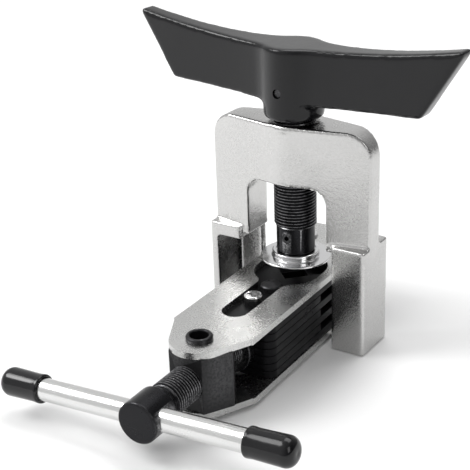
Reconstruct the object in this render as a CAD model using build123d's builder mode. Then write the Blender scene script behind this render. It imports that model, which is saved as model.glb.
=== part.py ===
"""Universal flaring tool: a bayonet yoke with a feed screw over a laminated V-jaw tube clamp.

Frame: the origin is the tube seat, where the feed-screw axis meets the top face of the clamp.
+Z is up along the feed screw, +X runs along the yoke, and -Y points to the clamp's T-bar.
All sizes are in millimetres.
"""

import os

from build123d import *

# Clamp plates
PLATE_HALF_W = 20.2
PLATE_T = 3.0
JAW_GAP = 26.0
REAR_Y = 48.6
CORNER_Y = -74.5
NOSE_HALF_W = 11.2
NOSE_SIDE_Y = -91.0
NOSE_Y = -84.3
NOSE_R = 13.0
KEYHOLE_R = 16.0
KEYHOLE_FRONT_Y = -8.0
KEYHOLE_REAR_Y = -2.0
SLOT_HALF_W = 6.3
SLOT_END_Y = -55.0
CLAMP_BOTTOM_Z = -(2 * PLATE_T + JAW_GAP)
SCREW_Z = -PLATE_T - JAW_GAP / 2

# Laminated jaws
LEAF_COUNT = 7
LEAF_PITCH = JAW_GAP / LEAF_COUNT
LEAF_T = 3.45
LEAF_HALF_W = 19.6
LEAF_CORNER_R = 5.0
JAW_FRONT_Y = -58.0
JAW_VERTEX_Y = -11.0
SEAT_VERTEX_Y = 8.0
V_HALF_W = 12.0
TONGUE_HALF_W = 16.0
RAIL_END_Y = -12.0
RECESS_Y = -15.5
JAW_CLOSING = 10.5
JAW_OPENING = 3.7
SIDE_CLEAR = 0.4
FRONT_PIN_Y = -40.0
REAR_PIN_Y = -24.0
FRONT_PIN_R = 4.0
REAR_PIN_R = 4.8
PRESS_CLEAR = 0.05
RUN_CLEAR = 0.06

# Nose block and rivets
BLOCK_FRONT_Y = -95.6
BLOCK_FRONT_HALF_W = 8.3
BLOCK_SIDE_Y = -83.0
BLOCK_SIDE_HALF_W = 15.8
BLOCK_REAR_Y = -76.0
BLOCK_REAR_HALF_W = 12.0
HOLLOW_RIVET_R = 5.0
HOLLOW_RIVET_HEAD_R = 5.9
HOLLOW_RIVET_HOLE_R = 4.0
HOLLOW_RIVET_STAND = 2.0
HOLLOW_RIVET_DEPTH = 6.4
REAR_RIVET_X = 12.0
REAR_RIVET_Y = 32.0
REAR_RIVET_R = 4.0

# Clamp screw and T-bar
T_THREAD_R = 8.0
T_HEAD_R = 9.4
T_END_Y = -131.2
T_HEAD_LENGTH = 15.0
T_BAR_Y = -124.0
COLLAR_FRONT_Y = -62.6
THRUST_COLLAR_R = 11.2
COLLAR_SEAT_R = 6.5
T_NECK_R = 3.2
T_TIP_R = 5.0
T_TIP_FRONT_Y = -52.2
T_TIP_END_Y = -49.8
ROD_R = 5.0
ROD_LENGTH = 141.0
ROD_SHIFT = -3.0
ROD_TILT = 3.5
CAP_R = 6.4
CAP_LENGTH = 21.5
CAP_WALL = 2.0

# Feed screw, cone holder and handle
FEED_R = 10.0
NECK_R = 9.03
SCREW_BOTTOM_Z = 8.5
THREAD_BOTTOM_Z = 21.0
HANDLE_BOTTOM_Z = 74.4
SPIGOT_R = 8.0
SPIGOT_TOP_Z = 98.0
STEM_R = 5.0
STEM_TOP_Z = 20.0
STEM_GROOVE_R = 4.0
SET_SCREW_Z = 16.4
SET_SCREW_R = 2.4
BALL_R = 2.5
FLANGE_R = 16.8
FLANGE_BOTTOM_Z = 4.5
FLANGE_TOP_Z = 5.5
HOLDER_R = 11.2
HOLDER_TOP_Z = 8.3
CONE_BASE_R = 9.8
CONE_TIP_R = 2.0
CONE_BASE_Z = 7.0
CONE_RECESS_R = 10.4
HUB_R = 13.94
HANDLE_YAW = -4.4
HANDLE_TOP_Z = 107.6
HANDLE_HALF_SPAN = 84.0
HANDLE_TIP_Z = 115.0
HANDLE_TIP_HALF_T = 4.4
PIN_Z = 87.5
PIN_R = 2.1

# Yoke
YOKE_YAW = -1.3
YOKE_TOP_Z = 72.0
ARCH_TOP_Z = 43.5
ARCH_CORNER_R = 7.5
LEG_INNER_X = 20.7
LEG_OUTER_X = 41.4
SHOULDER_R = 12.0
SHOULDER_Z = 17.9
BEAM_HALF_T = 12.6
BEAM_MID_HALF_T = 8.9
BEAM_END_HALF_T = 4.6
BOX_OUTER_X = 41.5
BOX_INNER_X = 24.6
BOX_FRONT_Y = -10.7
BOX_REAR_Y = 13.3
BOX_BOTTOM_Z = -34.45
POCKET_WALL = 4.2
POCKET_TOP_Z = 11.2
POCKET_FLOOR_Z = -29.4
LIP_TOP_Z = CLAMP_BOTTOM_Z - 0.3
LIP_INNER_X = 16.0
LIP_LENGTH = 14.0

os.makedirs("parts", exist_ok=True)


def keep(piece, name):
    """Label a finished piece and write it to its own file."""
    piece.label = name
    export_step(piece, f"parts/{name}.step")


def leaf_top(layer):
    """Height of the top face of one jaw layer, counted from the top plate down."""
    slack = (LEAF_PITCH - LEAF_T) / 2
    return -PLATE_T - slack - layer * LEAF_PITCH


def holds_tongue(layer):
    """The fixed jaw reaches forward in the odd layers, the sliding jaw reaches back in the even ones."""
    return layer % 2 == 1


# ---------------------------------------------------------------- clamp plates


def make_plate(top_z, name):
    """A stamped plate with a rounded nose, a keyhole for the tube and a slot for the guide pins."""
    with BuildPart() as plate:
        with BuildSketch(Plane.XY.offset(top_z - PLATE_T)):
            with BuildLine():
                Polyline(
                    (-NOSE_HALF_W, NOSE_SIDE_Y),
                    (-PLATE_HALF_W, CORNER_Y),
                    (-PLATE_HALF_W, REAR_Y),
                    (PLATE_HALF_W, REAR_Y),
                    (PLATE_HALF_W, CORNER_Y),
                    (NOSE_HALF_W, NOSE_SIDE_Y),
                )
                ThreePointArc(
                    (NOSE_HALF_W, NOSE_SIDE_Y),
                    (0, NOSE_Y - NOSE_R),
                    (-NOSE_HALF_W, NOSE_SIDE_Y),
                )
            make_face()
        extrude(amount=PLATE_T)
        corners = plate.edges().filter_by(Axis.Z).group_by(Axis.Y)
        fillet(corners[-1], radius=2.5)
        with BuildSketch(Plane.XY.offset(top_z - PLATE_T)) as keyhole:
            with Locations((0, KEYHOLE_FRONT_Y), (0, KEYHOLE_REAR_Y)):
                Circle(KEYHOLE_R)
            with Locations((0, (KEYHOLE_FRONT_Y + KEYHOLE_REAR_Y) / 2)):
                Rectangle(2 * KEYHOLE_R, KEYHOLE_FRONT_Y - KEYHOLE_REAR_Y)
            with Locations((0, (KEYHOLE_FRONT_Y + SLOT_END_Y) / 2)):
                Rectangle(2 * SLOT_HALF_W, KEYHOLE_FRONT_Y - SLOT_END_Y)
            with Locations((0, SLOT_END_Y)):
                Circle(SLOT_HALF_W)
            neck = keyhole.vertices().filter_by(lambda v: -24 < v.Y < -20)
            fillet(neck, radius=6.0)
        extrude(amount=PLATE_T, mode=Mode.SUBTRACT)
        with BuildSketch(Plane.XY.offset(top_z - PLATE_T)):
            with Locations((0, NOSE_Y)):
                Circle(HOLLOW_RIVET_R + PRESS_CLEAR)
            with Locations((-REAR_RIVET_X, REAR_RIVET_Y), (REAR_RIVET_X, REAR_RIVET_Y)):
                Circle(REAR_RIVET_R + PRESS_CLEAR)
        extrude(amount=PLATE_T, mode=Mode.SUBTRACT)
    keep(plate.part, name)


# ---------------------------------------------------------------- nose block and rivets


def make_nose_block():
    """The threaded block between the plates that the clamp screw turns in."""
    with BuildPart() as block:
        with BuildSketch(Plane.XY.offset(SCREW_Z)):
            with BuildLine():
                Polyline(
                    (-BLOCK_FRONT_HALF_W, BLOCK_FRONT_Y),
                    (BLOCK_FRONT_HALF_W, BLOCK_FRONT_Y),
                    (BLOCK_SIDE_HALF_W, BLOCK_SIDE_Y),
                    (BLOCK_REAR_HALF_W, BLOCK_REAR_Y),
                    (-BLOCK_REAR_HALF_W, BLOCK_REAR_Y),
                    (-BLOCK_SIDE_HALF_W, BLOCK_SIDE_Y),
                    close=True,
                )
            make_face()
        extrude(amount=JAW_GAP / 2, both=True)
        with BuildSketch(Plane.XZ.offset(-BLOCK_REAR_Y)):
            with Locations((0, SCREW_Z)):
                Circle(T_THREAD_R + RUN_CLEAR)
        extrude(amount=BLOCK_REAR_Y - BLOCK_FRONT_Y, mode=Mode.SUBTRACT)
        for face_z, direction in ((-PLATE_T, -1), (CLAMP_BOTTOM_Z + PLATE_T, 1)):
            with BuildSketch(Plane.XY.offset(face_z)):
                with Locations((0, NOSE_Y)):
                    Circle(HOLLOW_RIVET_R + PRESS_CLEAR)
            depth = HOLLOW_RIVET_DEPTH - PLATE_T + 0.2
            extrude(amount=direction * depth, mode=Mode.SUBTRACT)
    keep(block.part, "nose_block")


def make_hollow_rivet(face_z, outward, name):
    """A hollow rivet that holds the nose block to one plate, with its lip standing proud."""
    with BuildPart() as rivet:
        with BuildSketch(Plane.XY.offset(face_z)):
            with Locations((0, NOSE_Y)):
                Circle(HOLLOW_RIVET_HEAD_R)
        extrude(amount=outward * HOLLOW_RIVET_STAND)
        rim = rivet.edges().filter_by(GeomType.CIRCLE).group_by(Axis.Z)
        fillet(rim[-1] if outward > 0 else rim[0], radius=0.8)
        with BuildSketch(Plane.XY.offset(face_z)):
            with Locations((0, NOSE_Y)):
                Circle(HOLLOW_RIVET_R)
        extrude(amount=-outward * HOLLOW_RIVET_DEPTH)
        with BuildSketch(Plane.XY.offset(face_z + outward * HOLLOW_RIVET_STAND)):
            with Locations((0, NOSE_Y)):
                Circle(HOLLOW_RIVET_HOLE_R)
        length = HOLLOW_RIVET_STAND + HOLLOW_RIVET_DEPTH - 1.0
        extrude(amount=-outward * length, mode=Mode.SUBTRACT)
    keep(rivet.part, name)


def make_rear_rivet(x, name):
    """A solid rivet through both plates and the whole fixed jaw, with low domed heads."""
    head_r = 6.0
    head_h = 1.3
    with BuildPart() as rivet:
        with BuildSketch(Plane.XY.offset(CLAMP_BOTTOM_Z)):
            with Locations((x, REAR_RIVET_Y)):
                Circle(REAR_RIVET_R)
        extrude(amount=-CLAMP_BOTTOM_Z)
        for face_z, direction in ((0, 1), (CLAMP_BOTTOM_Z, -1)):
            with BuildSketch(Plane.XY.offset(face_z)):
                with Locations((x, REAR_RIVET_Y)):
                    Circle(head_r)
            extrude(amount=direction * head_h)
        rims = rivet.edges().filter_by(GeomType.CIRCLE).group_by(Axis.Z)
        fillet(rims[-1] + rims[0], radius=head_h * 0.7)
    keep(rivet.part, name)


# ---------------------------------------------------------------- laminated jaws


def make_sliding_leaf(layer):
    """One leaf of the sliding jaw: V-ended in the even layers, recessed for a tongue in the odd ones."""
    mid_layer = LEAF_COUNT // 2
    with BuildPart() as leaf:
        with BuildSketch(Plane.XY.offset(leaf_top(layer) - LEAF_T)) as outline:
            end_y = RAIL_END_Y if holds_tongue(layer) else JAW_VERTEX_Y + V_HALF_W
            with Locations((0, (JAW_FRONT_Y + end_y) / 2)):
                Rectangle(2 * LEAF_HALF_W, end_y - JAW_FRONT_Y)
            fillet(outline.vertices().group_by(Axis.Y)[0], radius=LEAF_CORNER_R)
            with Locations((0, FRONT_PIN_Y)):
                Circle(FRONT_PIN_R + PRESS_CLEAR, mode=Mode.SUBTRACT)
            with Locations((0, REAR_PIN_Y)):
                Circle(REAR_PIN_R + PRESS_CLEAR, mode=Mode.SUBTRACT)
        extrude(amount=LEAF_T)
        with BuildSketch(Plane.XY.offset(leaf_top(layer) - LEAF_T)):
            if holds_tongue(layer):
                depth = RAIL_END_Y - RECESS_Y
                with Locations((0, RAIL_END_Y - depth / 2)):
                    Rectangle(2 * (TONGUE_HALF_W + SIDE_CLEAR), depth)
            else:
                with BuildLine():
                    Polyline(
                        (0, JAW_VERTEX_Y),
                        (V_HALF_W, JAW_VERTEX_Y + V_HALF_W),
                        (-V_HALF_W, JAW_VERTEX_Y + V_HALF_W),
                        close=True,
                    )
                make_face()
        extrude(amount=LEAF_T, mode=Mode.SUBTRACT)
        if abs(layer - mid_layer) <= 1:
            neck_length = T_TIP_FRONT_Y - JAW_FRONT_Y
            head_length = T_TIP_END_Y - T_TIP_FRONT_Y + 2 * SIDE_CLEAR
            with BuildSketch(Plane.XY.offset(leaf_top(layer) - LEAF_T)):
                with Locations((0, JAW_FRONT_Y + neck_length / 2)):
                    Rectangle(2 * (T_NECK_R + SIDE_CLEAR), neck_length)
                with Locations((0, T_TIP_FRONT_Y - SIDE_CLEAR + head_length / 2)):
                    Rectangle(2 * (T_TIP_R + SIDE_CLEAR), head_length)
            extrude(amount=LEAF_T, mode=Mode.SUBTRACT)
    keep(leaf.part, f"sliding_leaf_{layer + 1}")


def make_fixed_leaf(layer):
    """One leaf of the fixed jaw: a V-ended tongue in the odd layers, cut back in the even ones."""
    shoulder_y = RAIL_END_Y + JAW_CLOSING + 1.5
    cut_back_y = JAW_VERTEX_Y + V_HALF_W + JAW_CLOSING + 0.5
    start_y = shoulder_y if holds_tongue(layer) else cut_back_y
    rear_y = REAR_Y - 0.6
    with BuildPart() as leaf:
        with BuildSketch(Plane.XY.offset(leaf_top(layer) - LEAF_T)):
            with Locations((0, (start_y + rear_y) / 2)):
                Rectangle(2 * LEAF_HALF_W, rear_y - start_y)
            if holds_tongue(layer):
                tip_y = SEAT_VERTEX_Y - V_HALF_W
                with Locations((0, (tip_y + start_y) / 2)):
                    Rectangle(2 * TONGUE_HALF_W, start_y - tip_y + 0.02)
                with BuildLine():
                    Polyline(
                        (0, SEAT_VERTEX_Y),
                        (V_HALF_W, tip_y),
                        (-V_HALF_W, tip_y),
                        close=True,
                    )
                make_face(mode=Mode.SUBTRACT)
            with Locations((-REAR_RIVET_X, REAR_RIVET_Y), (REAR_RIVET_X, REAR_RIVET_Y)):
                Circle(REAR_RIVET_R + PRESS_CLEAR, mode=Mode.SUBTRACT)
        extrude(amount=LEAF_T)
    keep(leaf.part, f"fixed_leaf_{layer + 1}")


def make_jaw_pins():
    """The two pins that hold the sliding leaves together and run in both plates' slots."""
    foot_z = CLAMP_BOTTOM_Z + 0.6
    with BuildPart() as front_pin:
        with BuildSketch(Plane.XY.offset(foot_z)):
            with Locations((0, FRONT_PIN_Y)):
                Circle(FRONT_PIN_R)
        extrude(amount=-0.6 - foot_z)
        with BuildSketch(Plane.XY.offset(-0.6)):
            with Locations((0, FRONT_PIN_Y)):
                Circle(1.6 + PRESS_CLEAR)
        extrude(amount=-8.2, mode=Mode.SUBTRACT)
    keep(front_pin.part, "guide_pin_front")

    with BuildPart() as rear_pin:
        with BuildSketch(Plane.XY.offset(foot_z)):
            with Locations((0, REAR_PIN_Y)):
                Circle(REAR_PIN_R)
        extrude(amount=-0.3 - foot_z)
        chamfer(rear_pin.edges().filter_by(GeomType.CIRCLE), length=0.5)
    keep(rear_pin.part, "guide_pin_rear")

    with BuildPart() as screw:
        with BuildSketch(Plane.XY.offset(-0.55)):
            with Locations((0, FRONT_PIN_Y)):
                Circle(4.2)
        extrude(amount=2.0)
        fillet(screw.edges().group_by(Axis.Z)[-1], radius=0.9)
        with BuildSketch(Plane.XY.offset(-0.55)):
            with Locations((0, FRONT_PIN_Y)):
                Circle(1.6)
        extrude(amount=-8.0)
        with BuildSketch(Plane.XY.offset(1.45)):
            with Locations((0, FRONT_PIN_Y)):
                Rectangle(5.0, 1.1)
                Rectangle(1.1, 5.0)
        extrude(amount=-1.1, mode=Mode.SUBTRACT)
    keep(screw.part, "guide_screw")


# ---------------------------------------------------------------- clamp screw and T-bar


def make_clamp_screw():
    """The screw that drives the sliding jaw: cross-drilled head, thread, collar seat and T-tip."""
    head_end = T_END_Y + T_HEAD_LENGTH
    thread_start = head_end + 4.5
    with BuildPart() as screw:
        with BuildSketch(Plane.YZ):
            with BuildLine():
                Polyline(
                    (T_END_Y, SCREW_Z),
                    (T_END_Y, SCREW_Z + T_HEAD_R - 0.8),
                    (T_END_Y + 0.8, SCREW_Z + T_HEAD_R),
                    (head_end, SCREW_Z + T_HEAD_R),
                    (head_end + 3.0, SCREW_Z + T_THREAD_R - 1.3),
                    (thread_start, SCREW_Z + T_THREAD_R - 1.3),
                    (thread_start + 1.2, SCREW_Z + T_THREAD_R),
                    (COLLAR_FRONT_Y - 1.2, SCREW_Z + T_THREAD_R),
                    (COLLAR_FRONT_Y, SCREW_Z + T_THREAD_R - 1.2),
                    (COLLAR_FRONT_Y, SCREW_Z + COLLAR_SEAT_R),
                    (JAW_FRONT_Y - 0.5, SCREW_Z + COLLAR_SEAT_R),
                    (JAW_FRONT_Y - 0.5, SCREW_Z + T_NECK_R),
                    (T_TIP_FRONT_Y, SCREW_Z + T_NECK_R),
                    (T_TIP_FRONT_Y, SCREW_Z + T_TIP_R),
                    (T_TIP_END_Y, SCREW_Z + T_TIP_R),
                    (T_TIP_END_Y, SCREW_Z),
                    close=True,
                )
            make_face()
        revolve(axis=Axis((0, 0, SCREW_Z), (0, 1, 0)))
        cross_plane = Plane(origin=(0, T_BAR_Y, SCREW_Z), x_dir=(0, 1, 0), z_dir=rod_direction())
        with BuildSketch(cross_plane):
            Circle(ROD_R + RUN_CLEAR)
        extrude(amount=T_HEAD_R + 3.0, both=True, mode=Mode.SUBTRACT)
    keep(screw.part, "clamp_screw")

    with BuildPart() as collar:
        with BuildSketch(Plane.XZ.offset(-COLLAR_FRONT_Y)):
            with Locations((0, SCREW_Z)):
                Circle(THRUST_COLLAR_R)
                Circle(COLLAR_SEAT_R + PRESS_CLEAR, mode=Mode.SUBTRACT)
        extrude(amount=-(JAW_FRONT_Y - 0.4 - COLLAR_FRONT_Y))
        chamfer(collar.edges().filter_by(GeomType.CIRCLE).sort_by(SortBy.RADIUS)[-2:], length=0.6)
    keep(collar.part, "thrust_collar")


def rod_direction():
    """Direction of the T-bar, which lies turned a little about the clamp screw."""
    return Vector(1, 0, 0).rotate(Axis.Y, -ROD_TILT)


def rod_plane(distance):
    """A plane square to the T-bar at a distance along it from the clamp screw's axis."""
    along = rod_direction()
    centre = Vector(0, T_BAR_Y, SCREW_Z) + along * (ROD_SHIFT + distance)
    return Plane(origin=centre, x_dir=(0, 1, 0), z_dir=along)


def make_t_bar():
    """The sliding T-bar and its two dipped end caps."""
    with BuildPart() as rod:
        with BuildSketch(rod_plane(0)):
            Circle(ROD_R)
        extrude(amount=ROD_LENGTH / 2, both=True)
        chamfer(rod.edges().filter_by(GeomType.CIRCLE), length=0.8)
    keep(rod.part, "t_bar_rod")

    mouth = ROD_LENGTH / 2 + CAP_WALL - CAP_LENGTH
    for side, name in ((-1, "t_bar_cap_left"), (1, "t_bar_cap_right")):
        with BuildPart() as cap:
            with BuildSketch(rod_plane(side * mouth)):
                Circle(CAP_R)
            extrude(amount=side * CAP_LENGTH)
            rims = cap.edges().filter_by(GeomType.CIRCLE).sort_by(Axis.X)
            fillet(rims[-1] if side > 0 else rims[0], radius=3.6)
            mouth_rims = cap.edges().filter_by(GeomType.CIRCLE).sort_by(Axis.X)
            fillet(mouth_rims[0] if side > 0 else mouth_rims[-1], radius=0.7)
            with BuildSketch(rod_plane(side * mouth)):
                Circle(ROD_R + PRESS_CLEAR)
            extrude(amount=side * (CAP_LENGTH - CAP_WALL + PRESS_CLEAR), mode=Mode.SUBTRACT)
        keep(cap.part, name)


# ---------------------------------------------------------------- cone holder


def make_cone_holder():
    """The collar and flange under the feed screw, the flaring cone in it, and the thrust ball."""
    with BuildPart() as collar:
        with BuildSketch(Plane.XZ):
            with BuildLine():
                Polyline(
                    (STEM_R + PRESS_CLEAR, CONE_BASE_Z + PRESS_CLEAR),
                    (CONE_RECESS_R, CONE_BASE_Z + PRESS_CLEAR),
                    (CONE_RECESS_R, FLANGE_BOTTOM_Z),
                    (FLANGE_R - 0.3, FLANGE_BOTTOM_Z),
                    (FLANGE_R, FLANGE_BOTTOM_Z + 0.3),
                    (FLANGE_R, FLANGE_TOP_Z - 0.3),
                    (FLANGE_R - 0.3, FLANGE_TOP_Z),
                    (HOLDER_R + 0.4, FLANGE_TOP_Z),
                    (HOLDER_R, FLANGE_TOP_Z + 0.4),
                    (HOLDER_R, HOLDER_TOP_Z - 0.5),
                    (HOLDER_R - 0.5, HOLDER_TOP_Z),
                    (STEM_R + PRESS_CLEAR, HOLDER_TOP_Z),
                    close=True,
                )
            make_face()
        revolve(axis=Axis.Z)
    keep(collar.part, "cone_collar")

    # The cone is at 45 degrees with a blunt tip, narrow enough to enter the smallest tube.
    cone_tip_z = CONE_BASE_Z - (CONE_BASE_R - CONE_TIP_R)
    groove_half = 1.4
    with BuildPart() as cone:
        with BuildSketch(Plane.XZ):
            with BuildLine():
                Polyline(
                    (0, cone_tip_z),
                    (CONE_TIP_R, cone_tip_z),
                    (CONE_BASE_R, CONE_BASE_Z),
                    (STEM_R, CONE_BASE_Z),
                    (STEM_R, SET_SCREW_Z - groove_half),
                    (STEM_GROOVE_R, SET_SCREW_Z - groove_half),
                    (STEM_GROOVE_R, SET_SCREW_Z + groove_half),
                    (STEM_R, SET_SCREW_Z + groove_half),
                    (STEM_R, STEM_TOP_Z - 0.5),
                    (STEM_R - 0.5, STEM_TOP_Z),
                    (0, STEM_TOP_Z),
                    close=True,
                )
            make_face()
        revolve(axis=Axis.Z)
    keep(cone.part, "flaring_cone")

    with BuildPart() as ball:
        with Locations((0, 0, STEM_TOP_Z + BALL_R)):
            Sphere(BALL_R)
    keep(ball.part, "thrust_ball")


# ---------------------------------------------------------------- feed screw and handle


def make_feed_screw():
    """The feed screw with its bored neck, its spigot in the handle and the handle's pin hole."""
    ball_room_z = STEM_TOP_Z + 2 * BALL_R + 0.3
    with BuildPart() as screw:
        with BuildSketch(Plane.XZ):
            with BuildLine():
                Polyline(
                    (STEM_R + RUN_CLEAR, SCREW_BOTTOM_Z),
                    (NECK_R - 0.4, SCREW_BOTTOM_Z),
                    (NECK_R, SCREW_BOTTOM_Z + 0.4),
                    (NECK_R, THREAD_BOTTOM_Z - 1.0),
                    (FEED_R, THREAD_BOTTOM_Z),
                    (FEED_R, HANDLE_BOTTOM_Z - 0.6),
                    (SPIGOT_R, HANDLE_BOTTOM_Z - 0.6),
                    (SPIGOT_R, SPIGOT_TOP_Z),
                    (0, SPIGOT_TOP_Z),
                    (0, ball_room_z),
                    (BALL_R + 0.3, ball_room_z),
                    (BALL_R + 0.3, STEM_TOP_Z + 0.3),
                    (STEM_R + RUN_CLEAR, STEM_TOP_Z + 0.3),
                    close=True,
                )
            make_face()
        revolve(axis=Axis.Z)
        with BuildSketch(Plane.XZ.offset(STEM_R - 0.5)):
            with Locations((0, SET_SCREW_Z)):
                Circle(SET_SCREW_R + PRESS_CLEAR)
        extrude(amount=NECK_R, mode=Mode.SUBTRACT)
        pin_plane = Plane(
            origin=(0, 0, PIN_Z),
            x_dir=Vector(1, 0, 0).rotate(Axis.Z, HANDLE_YAW),
            z_dir=Vector(0, -1, 0).rotate(Axis.Z, HANDLE_YAW),
        )
        with BuildSketch(pin_plane):
            Circle(PIN_R + PRESS_CLEAR)
        extrude(amount=SPIGOT_R + 1.0, both=True, mode=Mode.SUBTRACT)
    keep(screw.part, "feed_screw")

    with BuildPart() as set_screw:
        with BuildSketch(Plane.XZ.offset(STEM_R + 0.3)):
            with Locations((0, SET_SCREW_Z)):
                Circle(SET_SCREW_R)
        extrude(amount=NECK_R - STEM_R - 0.4)
        with BuildSketch(Plane.XZ.offset(STEM_R + 0.3)):
            with Locations((0, SET_SCREW_Z)):
                Circle(1.1)
        extrude(amount=-0.9)
        with BuildSketch(Plane.XZ.offset(NECK_R - 0.1)):
            with Locations((0, SET_SCREW_Z)):
                RegularPolygon(1.35, 6)
        extrude(amount=-1.8, mode=Mode.SUBTRACT)
    keep(set_screw.part, "neck_set_screw")


def make_handle():
    """The winged handle: an upswept blade, thick at the hub and thin at the tips."""
    with BuildPart() as handle:
        with BuildSketch(Plane.XZ):
            with BuildLine():
                Spline(
                    (0, HANDLE_TOP_Z),
                    (40, 108.2),
                    (HANDLE_HALF_SPAN - 2.5, HANDLE_TIP_Z),
                    tangents=((1, 0), (1, 0.2)),
                )
                Polyline(
                    (HANDLE_HALF_SPAN - 2.5, HANDLE_TIP_Z),
                    (HANDLE_HALF_SPAN, HANDLE_TIP_Z - 1.2),
                    (HANDLE_HALF_SPAN - 0.6, HANDLE_TIP_Z - 4.0),
                    (67.5, 85.2),
                    (65.0, 83.4),
                    (18.0, 81.4),
                    (HUB_R - 0.2, 79.4),
                    (0, 79.4),
                )
                Line((0, 79.4), (0, HANDLE_TOP_Z))
            make_face()
            mirror(about=Plane.YZ)
        extrude(amount=HUB_R, both=True)
        with BuildSketch(Plane.XY.offset(60)):
            with BuildLine():
                Line((0, -HUB_R), (0, HUB_R))
                Spline(
                    (0, HUB_R),
                    (18, 9.6),
                    (48, 6.0),
                    (HANDLE_HALF_SPAN + 0.5, HANDLE_TIP_HALF_T),
                    tangents=((1, -0.06), (1, -0.03)),
                )
                Line((HANDLE_HALF_SPAN + 0.5, HANDLE_TIP_HALF_T), (HANDLE_HALF_SPAN + 0.5, -HANDLE_TIP_HALF_T))
                Spline(
                    (HANDLE_HALF_SPAN + 0.5, -HANDLE_TIP_HALF_T),
                    (48, -6.0),
                    (18, -9.6),
                    (0, -HUB_R),
                    tangents=((-1, -0.03), (-1, -0.06)),
                )
            make_face()
            mirror(about=Plane.YZ)
        extrude(amount=70, mode=Mode.INTERSECT)
        with BuildSketch(Plane.XY.offset(HANDLE_BOTTOM_Z)):
            Circle(HUB_R)
        extrude(amount=HANDLE_TOP_Z - 3.0 - HANDLE_BOTTOM_Z)
        fillet(handle.faces().sort_by(Axis.Z)[0].edges(), radius=1.6)
        with BuildSketch(Plane.XY.offset(HANDLE_BOTTOM_Z)):
            Circle(SPIGOT_R + PRESS_CLEAR)
        extrude(amount=SPIGOT_TOP_Z + 0.3 - HANDLE_BOTTOM_Z, mode=Mode.SUBTRACT)
        with BuildSketch(Plane.XZ):
            with Locations((0, PIN_Z)):
                Circle(PIN_R + PRESS_CLEAR)
        extrude(amount=HUB_R + 2.0, both=True, mode=Mode.SUBTRACT)
    keep(handle.part.moved(Location((0, 0, 0), (0, 0, HANDLE_YAW))), "handle")

    with BuildPart() as pin:
        with BuildSketch(Plane.XZ):
            with Locations((0, PIN_Z)):
                Circle(PIN_R)
        extrude(amount=HUB_R - 1.0, both=True)
        chamfer(pin.edges().filter_by(GeomType.CIRCLE), length=0.4)
    keep(pin.part.moved(Location((0, 0, 0), (0, 0, HANDLE_YAW))), "handle_pin")


# ---------------------------------------------------------------- yoke


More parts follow.
